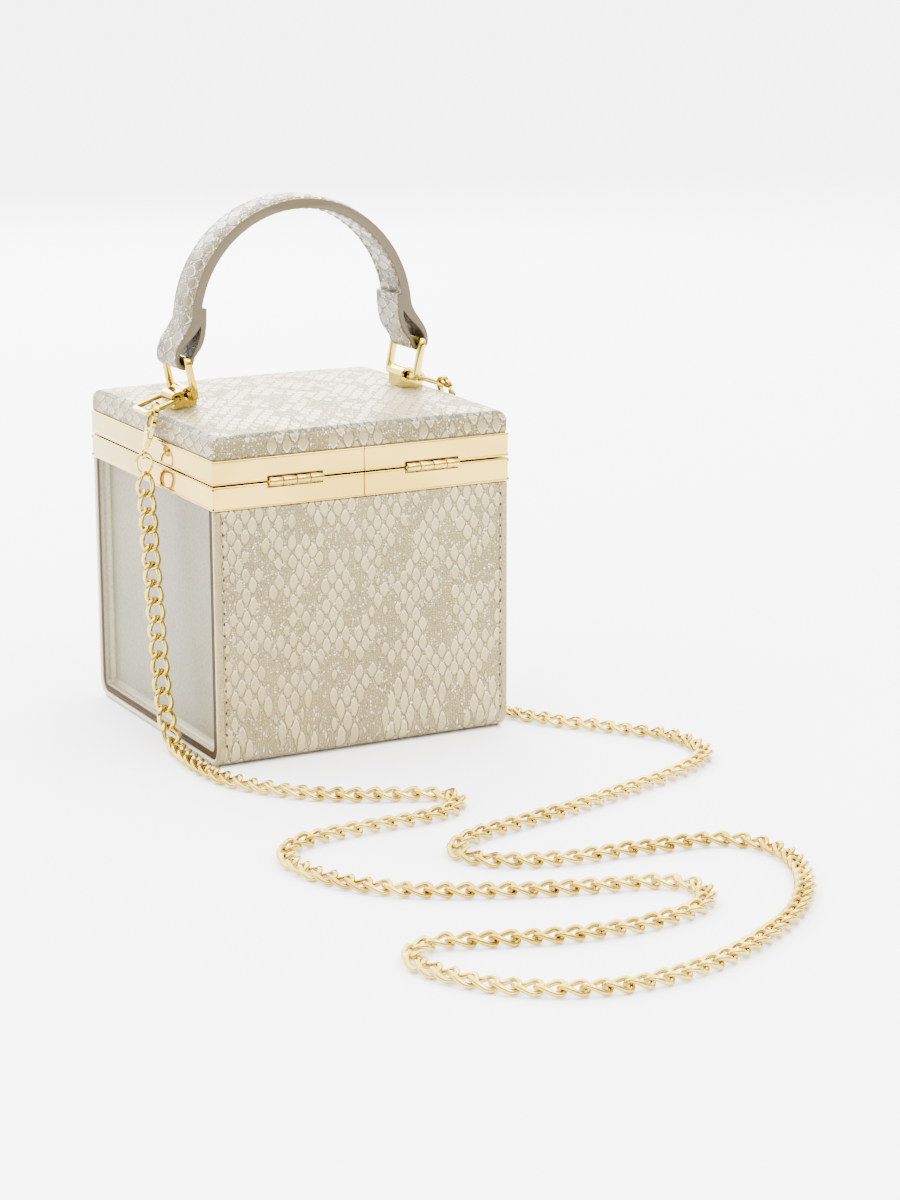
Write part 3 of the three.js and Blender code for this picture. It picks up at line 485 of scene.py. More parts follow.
def rod_along(path, radius, sides=8, closed=False, flat=1.0, name="pattern"):
    """A round bar along a path of (x, y, z) points, with tapered ends unless it is closed."""
    path = [Vector(p) for p in path]
    total = len(path)
    rings = []
    previous = None
    for i, point in enumerate(path):
        before = path[(i - 1) % total] if closed or i else path[0]
        after = path[(i + 1) % total] if closed or i < total - 1 else path[-1]
        tangent = (after - before).normalized()
        if previous is None:
            guide = Vector((0, 0, 1)) if abs(tangent.z) < 0.9 else Vector((1, 0, 0))
            side = tangent.cross(guide).normalized()
        else:
            side = (previous - tangent * previous.dot(tangent)).normalized()
        previous = side
        lift = tangent.cross(side).normalized()
        rings.append((point, side, lift))
    if closed:
        last_side = (previous - (path[1] - path[-1]).normalized() * 0).normalized()
        tangent = (path[1] - path[-1]).normalized()
        carried = (last_side - tangent * last_side.dot(tangent)).normalized()
        start_side, start_lift = rings[0][1], rings[0][2]
        drift = math.atan2(carried.dot(start_lift), carried.dot(start_side))
        rings = [(p, s * math.cos(-drift * i / total) + l * math.sin(-drift * i / total),
                  l * math.cos(-drift * i / total) - s * math.sin(-drift * i / total))
                 for i, (p, s, l) in enumerate(rings)]
    points, faces = [], []
    for i, (point, side, lift) in enumerate(rings):
        size = radius if closed or 0 < i < total - 1 else radius * 0.45
        for k in range(sides):
            angle = 2 * math.pi * (k + 0.5) / sides
            points.append(point + (side * math.cos(angle) + lift * math.sin(angle) * flat) * size)
    spans = total if closed else total - 1
    for i in range(spans):
        for k in range(sides):
            j, n = (k + 1) % sides, (i + 1) % total
            faces.append((i * sides + k, i * sides + j, n * sides + j, n * sides + k))
    if not closed:
        faces.append(tuple(range(sides))[::-1])
        faces.append(tuple((total - 1) * sides + k for k in range(sides)))
    return facing_out(mesh_object(name, points, faces, [], smooth=50))


thread = material("tan_thread", Base_Color=colour(158, 132, 84), Roughness=0.7)
# hole_shade is painted shade: small dark pieces laid on the leather where the punched holes show dark.
hole_shade = material("needle_hole", Base_Color=colour(40, 30, 18), Roughness=0.9)
stitch_pitch = 4.3
stitch_inset = 3.4
stitch = rod_along([(-1.35, 0, -0.25), (-1.1, 0, 0.06), (-0.5, 0, 0.16), (0.5, 0, 0.16), (1.1, 0, 0.06),
                    (1.35, 0, -0.25)], 0.2, sides=6, name="stitch_pattern")
hole = rod_along([(-0.6, 0, 0.02), (-0.3, 0, 0.08), (0.3, 0, 0.08), (0.6, 0, 0.02)], 0.36, sides=8, flat=0.4,
                 name="hole_pattern")


def row_places(path, facing, pitch, shift=0.0):
    """Places at an even pitch along a path, each with its direction and the way the surface faces."""
    places = []
    travelled, target = 0.0, pitch * (0.5 + shift)
    for i in range(len(path) - 1):
        a, b = Vector(path[i]), Vector(path[i + 1])
        length = (b - a).length
        while target <= travelled + length:
            share = (target - travelled) / length
            out = facing(a.lerp(b, share))
            places.append((a.lerp(b, share), (b - a).normalized(), out))
            target += pitch
        travelled += length
    return places


def wrap_rows():
    pairs = wrap_path()[2:-2]
    rows = []
    for side in (-1, 1):
        x = side * (half_x - stitch_inset)
        path = [(x, outer[0], outer[1]) for outer, _ in pairs if outer[1] > 7.9]
        for part in (path[:len(path) // 2], path[len(path) // 2:]):
            away = -1 if part[0][1] < 0 else 1
            rows.append((part, lambda point, away=away: Vector((0, away, 0))))
    return rows


stitch_places, hole_places = [], []
for path, facing in wrap_rows():
    stitch_places += row_places(path, facing, stitch_pitch)
    hole_places += row_places(path, facing, stitch_pitch, shift=0.5)
wrap_stitches = copies("wrap_stitches", stitch, stitch_places, thread, looseness=0.05)
wrap_holes = copies("wrap_needle_holes", hole, hole_places, hole_shade, looseness=0.05, seed=5)
for piece in (wrap_stitches, wrap_holes):
    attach(piece, "box")


# The side gussets: smooth fine-grained leather over board, set back 4 mm between the edges
# of the wrap panel. Each is turned out at the sides and foot and sewn to the wrap there.

gusset_wall = 1.8
gusset_face = half_x - 4
gusset_bend = 2.2


def grain_look(base, dark):
    def look(field):
        spot = field.node("ShaderNodeTexCoord", out=3)
        cells = field.node("ShaderNodeTexVoronoi", {"Vector": spot, "Scale": 1700.0}, feature="F1")
        fine = field.node("ShaderNodeTexNoise", {"Vector": spot, "Scale": 900.0, "Detail": 4.0})
        broad = field.node("ShaderNodeTexNoise", {"Vector": spot, "Scale": 28.0, "Detail": 2.0})
        height = cells * 0.4 + fine * 0.6
        tone = ((fine - 0.5) * 0.9 + (broad - 0.5) * 0.5 + 0.3).highest(0.0).lowest(1.0)
        bump = field.node("ShaderNodeBump", {"Strength": 0.45, "Distance": 0.0003, "Height": height})
        return {"Base Color": tone.pick(base, dark), "Roughness": 0.36 + fine * 0.2, "Normal": bump}
    return look


seam_paint = material("seam_paint", Base_Color=colour(56, 42, 18), Roughness=0.7)
seam_paint.node_tree.nodes["Principled BSDF"].inputs["Specular IOR Level"].default_value = 0.15
edge_paint = material("edge_paint", Base_Color=colour(70, 57, 25), Roughness=0.45, Coat_Weight=0.15)
# bend_highlight_leather is a lighter copy of the gusset leather: a painted highlight along the bend of each flange.
bend_highlight_leather = material("bend_highlight_leather", grain_look(colour(158, 152, 124), colour(100, 94, 66)), Metallic=0.5)
grain_leather = material("grain_leather", grain_look(colour(126, 121, 96), colour(72, 68, 44)), Metallic=0.5)


def build_gusset(side):
    half = half_y - sheet_wall - 0.3
    foot = sheet_wall + 0.3
    corner = wrap_corner - sheet_wall - 0.3
    steps = 10

    def loop(x, inset):
        radius = max(corner - inset, 0.4)
        reach = half - inset
        points = [(-reach, body_top)]
        for centre, first in ((-1, math.pi), (1, 1.5 * math.pi)):
            for i in range(steps + 1):
                angle = first + i / steps * math.pi / 2
                points.append((centre * (reach - radius) + radius * math.cos(angle),
                               foot + inset + radius + radius * math.sin(angle)))
        points.append((reach, body_top))
        return [(side * x, y, z) for y, z in points]
    edge = half_x - 0.3
    rings = [loop(gusset_face - gusset_wall, 0.6),
             loop(gusset_face - gusset_wall + 0.6, 0.0), loop(edge - 0.5, 0.0), loop(edge - 0.12, 0.12),
             loop(edge - 0.02, 0.5), loop(edge, 1.7), loop(edge - 0.3, 1.85), loop(edge - 0.05, 2.1), loop(edge, 2.5),
             loop(edge - 0.15, 2.9), loop(edge - 0.5, 3.2)]
    painted = range(2, 9)
    for i in range(1, 8):
        angle = i / 7 * math.pi / 2
        rings.append(loop(gusset_face + gusset_bend * (1 - math.sin(angle)),
                          3.2 + gusset_bend * (1 - math.cos(angle))))
    count = len(rings[0])
    points = [p for ring in rings for p in ring]
    faces = []
    for r in range(len(rings) - 1):
        for i in range(count - 1):
            faces.append((r * count + i, r * count + i + 1, (r + 1) * count + i + 1, (r + 1) * count + i))
    faces.append(tuple(range(count)))
    faces.append(tuple((len(rings) - 1) * count + i for i in range(count)))
    faces.append(tuple(r * count for r in range(len(rings)))
                 + tuple(r * count + count - 1 for r in reversed(range(len(rings)))))
    start = len(points)
    inner_x, outer_x = side * (gusset_face - gusset_wall), side * gusset_face
    reach = half - 4.2
    points += [(x, y, z) for x in (inner_x, outer_x) for y in (-reach, reach) for z in (body_top - 1, tongue_top)]
    faces += [tuple(start + i for i in f) for f in
              ((0, 1, 3, 2), (4, 5, 7, 6), (0, 1, 5, 4), (2, 3, 7, 6), (0, 2, 6, 4), (1, 3, 7, 5))]
    name = ("left" if side < 0 else "right") + "_gusset_leather"
    gusset = facing_out(mesh_object(name, points, faces, [grain_leather, seam_paint, bend_highlight_leather]))
    for face in gusset.data.polygons[painted.start * (count - 1):painted.stop * (count - 1)]:
        face.material_index = 1
    # The inner strip of the flange and its bend take the painted highlight.
    for face in gusset.data.polygons[10 * (count - 1):(len(rings) - 1) * (count - 1)]:
        face.material_index = 2
    return gusset


for side, word in ((-1, "left"), (1, "right")):
    gusset = build_gusset(side)
    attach(gusset, "box")
    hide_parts(word + "_gusset")


# The frame bands: pressed and plated metal, mirror-bright pale gold, one on the box and one
# on the lid. Each has a narrow rolled lip along both edges and a butt seam at the back, and
# the lips of the lower one leave small open gaps at the corners, where small dark pieces are
# painted shade.

band_high = 9.0
lip_rise = 0.3
lower_band = 99.9
upper_band = 110.0
frame_half = 62.5


def polished(base, deep, rough, back_shade_slope=0):
    def look(field):
        spot = field.node("ShaderNodeTexCoord", out=3)
        drift = field.node("ShaderNodeTexNoise", {"Vector": spot, "Scale": 14.0, "Detail": 1.0, "Distortion": 1.5})
        broad = field.node("ShaderNodeTexNoise", {"Vector": spot, "Scale": 35.0, "Detail": 2.0})
        fine = field.node("ShaderNodeTexNoise", {"Vector": spot, "Scale": 1400.0, "Detail": 3.0})
        bump = field.node("ShaderNodeBump", {"Strength": 0.05, "Distance": 0.0002, "Height": fine + broad * 4})
        tone = drift.ramp(0.4, 0.62)
        # back_shade_slope deepens the colour towards the back of the bag: painted shade that darkens the side faces of
        # the bands.
        if back_shade_slope:
            run = Field(field.tree, field.node("ShaderNodeSeparateXYZ", {0: spot}).socket.node.outputs[1])
            tone = (tone * 0.45 + (run + 0.0625) * back_shade_slope).lowest(1.0)
        return {"Base Color": tone.pick(base, deep),
                "Roughness": rough + (fine - 0.5) * 0.05, "Normal": bump}
    return material("plating", look, Metallic=1.0)


# The frame's plating deepens towards the back as painted shade.
frame_gold = polished(colour(206, 174, 82), colour(168, 140, 40), 0.08, 8)
fitting_gold = polished(colour(206, 184, 72), colour(176, 150, 40), 0.1)
chain_gold = polished(colour(206, 182, 82), colour(182, 154, 54), 0.1)


def plan_ring(offset, z, radius=1.0, steps=5):
    """A rounded rectangle in plan, offset inward from the outside of the frame."""
    half = frame_half - offset
    bend = max(radius - offset, 0.3)
    points = []
    for quarter, (sx, sy) in enumerate(((1, 1), (-1, 1), (-1, -1), (1, -1))):
        for i in range(steps + 1):
            angle = (quarter + i / steps) * math.pi / 2
            points.append((sx * (half - bend) + bend * math.cos(angle),
                           sy * (half - bend) + bend * math.sin(angle), z))
    return points


def lofted(rings):
    """Faces that join rings of equal count in turn and close on the first."""
    count = len(rings[0])
    points = [p for ring in rings for p in ring]
    faces = []
    for r in range(len(rings)):
        s = (r + 1) % len(rings)
        for i in range(count):
            j = (i + 1) % count
            faces.append((r * count + i, r * count + j, s * count + j, s * count + i))
    return points, faces


def cutter(x0, x1, y0, y1, z0, z1):
    corners = [(x, y, z) for x in (x0, x1) for y in (y0, y1) for z in (z0, z1)]
    faces = [(0, 1, 3, 2), (4, 6, 7, 5), (0, 4, 5, 1), (2, 3, 7, 6), (0, 2, 6, 4), (1, 5, 7, 3)]
    return facing_out(mesh_object("cutter", corners, faces, [], smooth=0))


def cut_away(piece, cutters):
    for tool in cutters:
        modifier = piece.modifiers.new("cut", "BOOLEAN")
        modifier.operation = "DIFFERENCE"
        modifier.solver = "EXACT"
        modifier.object = tool
    bpy.context.view_layer.update()
    made = bpy.data.meshes.new_from_object(piece.evaluated_get(bpy.context.evaluated_depsgraph_get()))
    piece.modifiers.clear()
    piece.data = made
    made.shade_smooth()
    made.set_sharp_from_angle(angle=math.radians(35))
    for tool in cutters:
        bpy.data.objects.remove(tool)
    return piece


hinge_centre, hinge_long, knuckle_long = 28.7, 22.4, 5.6
axis_y, axis_z, barrel_size = -62.9, 109.45, 1.8


def build_band(name, bottom, up):
    """up is 1 where the mating lip is at the top of the band and -1 where it is at the bottom."""
    mating = bottom + band_high + lip_rise if up > 0 else bottom - lip_rise

    def level(distance):
        return mating - up * distance
    far = band_high + lip_rise
    lip = [(0.6, 0.0), (0.3, 0.08), (0.08, 0.3), (0.0, 0.6), (0.0, 0.8), (0.12, 0.98), (0.34, 1.05)]
    profile = ([(5.5, 0.0)] + lip + [(offset, far - distance) for offset, distance in reversed(lip)]
               + [(1.0, far), (1.0, 1.0), (5.5, 1.0)])
    rings = [plan_ring(offset, level(distance)) for offset, distance in profile]
    points, faces = lofted(rings)
    band = facing_out(mesh_object(name, points, faces, [frame_gold], smooth=35))
    reach = hinge_long / 2 + 0.3
    cutters = [cutter(side * hinge_centre - reach, side * hinge_centre + reach, -frame_half - 2, -58.2,
                      axis_z - 2.4, axis_z + 2.4) for side in (-1, 1)]
    cutters.append(cutter(-0.2, 0.2, -frame_half - 2, -56, bottom - 1, bottom + band_high + 1))
    return cut_away(band, cutters)


for name, node, bottom, up, body in (("lower_band_metal", "lower_band", lower_band, 1, "box"),
                                     ("upper_band_metal", "upper_band", upper_band, -1, "lid")):
    band = build_band(name, bottom, up)
    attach(band, body)
    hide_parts(node)


# gap_shade and corner_gaps are painted shade: small dark pieces set where the open gaps at the band corners show shade.
gap_shade = polished(colour(40, 30, 16), colour(16, 12, 8), 0.5)
gap = 0.62
gap_points, gap_faces = [], []
for side_x, side_y, z in ((sx, sy, z) for sx in (-1, 1) for sy in (-1, 1)
                          for z in (lower_band + 0.9, lower_band + band_high - 0.7)):
    middle = Vector((side_x * (frame_half - 0.46), side_y * (frame_half - 0.46), z))
    first = len(gap_points)
    gap_points += [middle + Vector(step) for step in ((gap, 0, 0), (0, gap, 0), (-gap, 0, 0), (0, -gap, 0),
                                                      (0, 0, gap), (0, 0, -gap))]
    for k in range(4):
        gap_faces.append((first + k, first + (k + 1) % 4, first + 4))
        gap_faces.append((first + (k + 1) % 4, first + k, first + 5))
corner_gaps = mesh_object("corner_gaps", gap_points, gap_faces, [gap_shade])
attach(corner_gaps, "box")


# The barrel hinges: four plated knuckles each, two on either leaf, round a headed pin. The
# leaves pass through a notch in the frame and are riveted out of sight behind it.

def lathe_along_x(profile, name, sides=28):
    """A turned piece from (x, radius) points about the X axis."""
    points, faces = [], []
    for x, radius in profile:
        for k in range(sides):
            angle = 2 * math.pi * k / sides
            points.append((x, radius * math.cos(angle), radius * math.sin(angle)))
    for i in range(len(profile) - 1):
        for k in range(sides):
            j = (k + 1) % sides
            faces.append((i * sides + k, i * sides + j, (i + 1) * sides + j, (i + 1) * sides + k))
    if profile[0] != profile[-1]:
        faces.append(tuple(range(sides)))
        faces.append(tuple((len(profile) - 1) * sides + k for k in range(sides)))
    else:
        whole = (len(profile) - 1) * sides
        points = points[:whole]
        faces = [tuple(v % whole for v in f) for f in faces]
    return facing_out(mesh_object(name, points, faces, [], smooth=35))


knuckle_half = knuckle_long / 2 - 0.13
knuckle = lathe_along_x([(-knuckle_half, 0.75), (-knuckle_half, 1.35), (-knuckle_half + 0.08, 1.55),
                         (-knuckle_half + 0.3, barrel_size - 0.13), (knuckle_half - 0.3, barrel_size - 0.13),
                         (knuckle_half - 0.08, 1.55), (knuckle_half, 1.35), (knuckle_half, 0.75),
                         (-knuckle_half, 0.75)], "knuckle_pattern")
pin_half = hinge_long / 2
pin = lathe_along_x([(-pin_half - 0.15, 0.2), (-pin_half - 0.1, 0.5), (-pin_half, 0.6), (pin_half, 0.6),
                     (pin_half + 0.1, 0.5), (pin_half + 0.15, 0.2)], "pin_pattern", sides=16)


def leaf_mesh(side, up, first):
    """The flat leaf of a hinge with its two tabs, behind the knuckles."""
    start = side * hinge_centre - hinge_long / 2
    edge = axis_z + up * 0.55
    low, high = min(edge, edge + up * 7), max(edge, edge + up * 7)
    boxes = [(start, start + hinge_long, -59.3, -58.5, low, high)]
    for i in (first, first + 2):
        x = start + i * knuckle_long
        boxes.append((x + 0.15, x + knuckle_long - 0.15, axis_y + 0.9, -58.9,
                      min(edge, edge + up), max(edge, edge + up)))
    points, faces = [], []
    for x0, x1, y0, y1, z0, z1 in boxes:
        base = len(points)
        points += [(x, y, z) for x in (x0, x1) for y in (y0, y1) for z in (z0, z1)]
        faces += [tuple(base + i for i in f) for f in
                  ((0, 1, 3, 2), (4, 6, 7, 5), (0, 4, 5, 1), (2, 3, 7, 6), (0, 2, 6, 4), (1, 5, 7, 3))]
    return points, faces


for side, word in ((-1, "left"), (1, "right")):
    for up, first, leaf, body in ((-1, 0, "box_leaf", "box"), (1, 1, "lid_leaf", "lid")):
        start = side * hinge_centre - hinge_long / 2
        places = [((start + (i + 0.5) * knuckle_long, axis_y, axis_z), (1, 0, 0), (0, 0, 1))
                  for i in (first, first + 2)]
        barrels = copies(f"{word}_hinge_{leaf}_knuckles", knuckle, places, frame_gold)
        plate = mesh_object(f"{word}_hinge_{leaf}_plate", *leaf_mesh(side, up, first), [frame_gold], smooth=35)
        for piece in (barrels, plate):
            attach(piece, body)
        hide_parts(f"{word}_hinge_{leaf}")
    pin_piece = copies(f"{word}_hinge_pin_metal", pin, [((side * hinge_centre, axis_y, axis_z), (1, 0, 0), (0, 0, 1))],
                       frame_gold)
    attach(pin_piece, "box")
    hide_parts(f"{word}_hinge_pin")


# The padded lid: the same embossed leather drawn over a board with thin foam, with rounded
# edges, near-square corners folded under, and a slightly crowned top.

lid_edge_level = 127.4
lid_crown = 2.6
lid_wall = 2.4
lid_round = 3.6
lid_floor = 111.3
lid_shoulder = 119.3


def lid_top(x, y):
    return lid_edge_level + lid_crown * (1 - abs(x / half_x) ** 4) * (1 - abs(y / half_y) ** 4)


def lid_ring(inset, height, corner=1.6, spans=22, steps=5):
    half = half_x - inset
    bend = max(corner - inset * 0.5, 0.5)
    points = []
    signs = ((1, 1), (-1, 1), (-1, -1), (1, -1))
    for quarter, (sx, sy) in enumerate(signs):
        for i in range(steps + 1):
            angle = (quarter + i / steps) * math.pi / 2
            points.append((sx * (half - bend) + bend * math.cos(angle),
                           sy * (half - bend) + bend * math.sin(angle)))
        nx, ny = signs[(quarter + 1) % 4]
        end = (nx * (half - (bend if ny == sy else 0)), ny * (half - (bend if nx == sx else 0)))
        first = points[-1]
        for i in range(1, spans):
            share = i / spans
            points.append((first[0] + (end[0] - first[0]) * share, first[1] + (end[1] - first[1]) * share))
    return [(x, y, height(x, y)) for x, y in points]


# round_over_shade_leather is a darker copy of the leather for the upper part of the lid's rounded edge: painted shade
# on the round-over.
round_over_shade_leather = material(
    "round_over_shade_leather", leather_look(colour(112, 107, 86), colour(66, 62, 44), colour(206, 202, 184), 0.42),
    Metallic=0.5)
# shaded_side_leather is a darker copy of the leather with larger scales. The larger scales are the sides' own pattern.
# The darker colour is painted shade on the lid's sides.
shaded_side_leather = material(
    "shaded_side_leather", leather_look(colour(146, 130, 86), colour(66, 58, 32), colour(240, 234, 210), 0.34, 1.15),
    Metallic=0.55)


def build_lid():
    outer = [lid_ring(share * half_x, lid_top) for share in (0.97, 0.8, 0.65, 0.5, 0.38, 0.28, 0.2, 0.14, 0.09)]
    for i in range(8, -1, -1):
        angle = i / 8 * math.pi / 2
        drop = lid_round * (1 - math.sin(angle))
        outer.append(lid_ring(lid_round * (1 - math.cos(angle)), lambda x, y, d=drop: lid_top(x, y) - d))
    outer += [lid_ring(0, lambda x, y, z=z: z) for z in (122, lid_shoulder + 0.4)]
    outer += [lid_ring(0.3, lambda x, y: lid_shoulder), lid_ring(0.8, lambda x, y: lid_shoulder),
              lid_ring(0.8, lambda x, y: lid_floor)]
    inner = [lid_ring(2.4, lambda x, y: lid_floor), lid_ring(lid_wall, lambda x, y: lid_shoulder),
             lid_ring(lid_wall, lambda x, y: lid_top(x, y) - lid_wall * 1.5),
             lid_ring(lid_wall * 1.5, lambda x, y: lid_top(x, y) - lid_wall)]
    inner += [lid_ring(share * half_x + lid_wall, lambda x, y: lid_top(x, y) - lid_wall)
              for share in (0.14, 0.4, 0.7, 0.9)]
    rings = outer + inner
    count = len(rings[0])
    points = [p for ring in rings for p in ring]
    faces, tags = [], []
    for r in range(len(rings) - 1):
        for i in range(count):
            j = (i + 1) % count
            faces.append((r * count + i, (r + 1) * count + i, (r + 1) * count + j, r * count + j))
            # Rows 10 to 12, the upper round-over, take the painted shade copy. Rows from 13, the lower round-over and
            # the sides, take the darker side copy, also painted shade. The last rows take the backing.
            tags.append(1 if r >= len(outer) - 2 else 3 if r > 12 else 2 if r > 9 else 0)
    faces += [tuple(range(count)), tuple((len(rings) - 1) * count + i for i in range(count))]
    tags += [0, 1]
    lid = facing_out(mesh_object("lid_cover_leather", points, faces, [scale_leather, backing, round_over_shade_leather, shaded_side_leather],
                                 smooth=60))
    for face, tag in zip(lid.data.polygons, tags):
        face.material_index = tag

    def place(point, normal):
        if abs(normal.z) > 0.62:
            return point.x, point.y
        if abs(normal.y) >= abs(normal.x):
            return point.x, math.copysign(half_y, point.y) + (point.z - lid_edge_level) * -math.copysign(1, point.y)
        return point.z + 200, point.y
    unwrap(lid, place)
    return lid


lid = build_lid()
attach(lid, "lid")
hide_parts("lid_cover")


# The fittings on the lid: cast brackets, the rings that hold the handle and the chain, the
# snap clasps with their levers and the catch. They are cast, tumbled smooth and gold plated.

bracket_x = 47.4
bracket_z = lid_top(bracket_x, 0) + 0.35 + 4.8
ring_lean, ring_reach = math.radians(12), 14.5
link_slope, link_reach = math.radians(19), 13.5
chain_lug = Vector((bracket_x + 4.8, 0, bracket_z - 1.3))
handle_lug = Vector((bracket_x, 0, bracket_z))

for word in ("left", "right"):
    for node in ("bracket", "clasp_body", "clasp_lever"):
        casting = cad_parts[f"{word}_{node}"]
        casting.data.materials.clear()
        casting.data.materials.append(fitting_gold)
        bevel = casting.modifiers.new("softened", "BEVEL")
        bevel.width = (0.35 if node == "bracket" else 0.16) * MM
        bevel.segments = 2
        bevel.angle_limit = math.radians(38)
        casting.data.shade_smooth()
        casting.data.set_sharp_from_angle(angle=math.radians(38))
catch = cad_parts["front_catch"]
catch.data.materials.clear()
catch.data.materials.append(frame_gold)
bevel = catch.modifiers.new("softened", "BEVEL")
bevel.width = 0.5 * MM
bevel.segments = 3
bevel.angle_limit = math.radians(38)
catch.data.shade_smooth()
catch.data.set_sharp_from_angle(angle=math.radians(38))


def bar_ring(name, pivot, direction, reach, inside, bar, thick, corner, edge):
    """A cast rectangular ring: a softened rectangular bar run round a rounded rectangle."""
    half_wide, half_long = (inside + bar) / 2, reach / 2
    bend = corner - bar / 2
    path = []
    for quarter, (sx, sy) in enumerate(((1, 1), (-1, 1), (-1, -1), (1, -1))):
        for i in range(9):
            angle = (quarter + i / 8) * math.pi / 2
            out = (math.cos(angle), math.sin(angle))
            path.append(((sx * (half_wide - bend) + bend * out[0], sy * (half_long - bend) + bend * out[1]), out))
    a, b, e = bar / 2, thick / 2, edge
    section = []
    for sx, sy in ((1, 1), (-1, 1), (-1, -1), (1, -1)):
        first = [(a - e, b), (a - e * 0.3, b - e * 0.3), (a, b - e)]
        ordered = first[::-1] if sx * sy > 0 else first
        section += [(sx * u, sy * v) for u, v in ordered]
    across = Vector((0, 1, 0))
    normal = across.cross(direction)
    points = []
    for (u, v), out in path:
        for s, t in section:
            spot = across * (u + out[0] * s) + direction * (v + out[1] * s + reach / 2) + normal * t
            points.append(pivot + spot)
    count, total = len(section), len(path)
    faces = [(i * count + k, i * count + (k + 1) % count, (i + 1) % total * count + (k + 1) % count,
              (i + 1) % total * count + k) for i in range(total) for k in range(count)]
    return facing_out(mesh_object(name, points, faces, [fitting_gold], smooth=32))


def across_x(vector, side):
    return Vector((side * vector[0], vector[1], vector[2]))


for side, word in ((-1, "left"), (1, "right")):
    rings = (
        ("handle_ring", handle_lug, Vector((math.sin(ring_lean), 0, math.cos(ring_lean))), ring_reach,
         21.0, 3.0, 2.6, 2.9, 0.75),
        ("chain_ring", chain_lug, Vector((math.cos(link_slope), 0, -math.sin(link_slope))), link_reach,
         12.6, 2.0, 1.8, 2.6, 0.55),
    )
    for node, pivot, direction, reach, inside, bar, thick, corner, edge in rings:
        ring = bar_ring(f"{word}_{node}_cast", across_x(pivot, side), across_x(direction, side), reach, inside,
                        bar, thick, corner, edge)
        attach(ring, "lid")
        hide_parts(f"{word}_{node}")


# The handle: a half round of padded leather strap. Each end loops round its ring and is sewn
# back inside as a flat tail. The cut edges are painted taupe and a line of stitches runs
# along both edges.

strap_width, strap_thick, strap_pad = 19.6, 4.0, 1.0
arc_radius, arc_centre = 47.2, 207.7 - 47.2
tail_top, tail_thick = 168.0, 1.8
loop_bore, loop_wall = 2.1, 1.9


def bezier(a, b, c, d, steps):
    points = []
    for i in range(1, steps):
        t = i / steps
        weights = ((1 - t) ** 3, 3 * t * (1 - t) ** 2, 3 * t * t * (1 - t), t ** 3)
        points.append(tuple(sum(w * p[k] for w, p in zip(weights, (a, b, c, d))) for k in (0, 1)))
    return points


def arc(x, z, radius, first, last, steps):
    return [(x + radius * math.cos(first + (last - first) * i / steps),
             z + radius * math.sin(first + (last - first) * i / steps)) for i in range(steps + 1)]


eye = handle_lug + Vector((math.sin(ring_lean), 0, math.cos(ring_lean))) * ring_reach
loop_radius = loop_bore + loop_wall
spring = 0.03 * math.pi
inner_radius = arc_radius - strap_thick
tail_angle = math.asin((tail_top - arc_centre) / inner_radius)
outer_foot = (arc_radius * math.cos(spring), arc_centre + arc_radius * math.sin(spring))
tail_radius = inner_radius - tail_thick
tail_end = (tail_radius * math.cos(tail_angle), arc_centre + tail_radius * math.sin(tail_angle))
strap_drop = outer_foot[1] - eye.z
outer_side = arc(eye.x, eye.z, loop_radius, -0.5 * math.pi, 0, 10) + bezier(
    (eye.x + loop_radius, eye.z + 1), (eye.x + loop_radius - 0.6, eye.z + strap_drop * 0.45),
    (outer_foot[0] + 0.7, outer_foot[1] - strap_drop * 0.35), outer_foot, 10)
outer_side += arc(0, arc_centre, arc_radius, spring, 0.5 * math.pi, 36)
inner_side = arc(0, arc_centre, inner_radius, 0.5 * math.pi, tail_angle, 30) + [tail_end] + bezier(
    tail_end, (tail_end[0] + 0.2, tail_end[1] - strap_drop * 0.47),
    (eye.x - 9.4, eye.z + strap_drop * 0.28), (eye.x - loop_radius, eye.z + 1), 10)
inner_side += arc(eye.x, eye.z, loop_radius, -math.pi, -0.5 * math.pi, 10)[:-1]


fold_top = (eye.x - 6.9, eye.z + strap_drop * 0.74)
open_fold = arc(eye.x, eye.z, loop_bore, math.pi, 2 * math.pi, 14) + bezier(
    (eye.x + loop_bore, eye.z), (eye.x + loop_bore + 0.3, eye.z + strap_drop * 0.25),
    (eye.x - 3.9, eye.z + strap_drop * 0.45), fold_top, 10) + [fold_top] + bezier(
    fold_top, (eye.x - 6.9, eye.z + strap_drop * 0.55), (eye.x - 4.9, eye.z + strap_drop * 0.22),
    (eye.x - loop_bore, eye.z), 10)


def mirrored_path(path):
    return [(-x, z) for x, z in reversed(path)]


# The handle's strong fine mottle is painted reflection: dark patches standing in for darker surroundings mirrored in
# the metallic leather.
handle_leather = material(
    "handle_leather", leather_look(colour(100, 88, 52), colour(38, 33, 16), colour(250, 247, 230), 0.24, 1.3, (150.0, 1.9)),
    Metallic=0.55)


# fold_shade_leather is painted shade: a dark copy of the leather for the inside of each open fold.
fold_shade_leather = material("fold_shade_leather", leather_look(colour(66, 55, 34), colour(36, 29, 16), colour(120, 106, 74), 0.5),
                        Metallic=0.2)


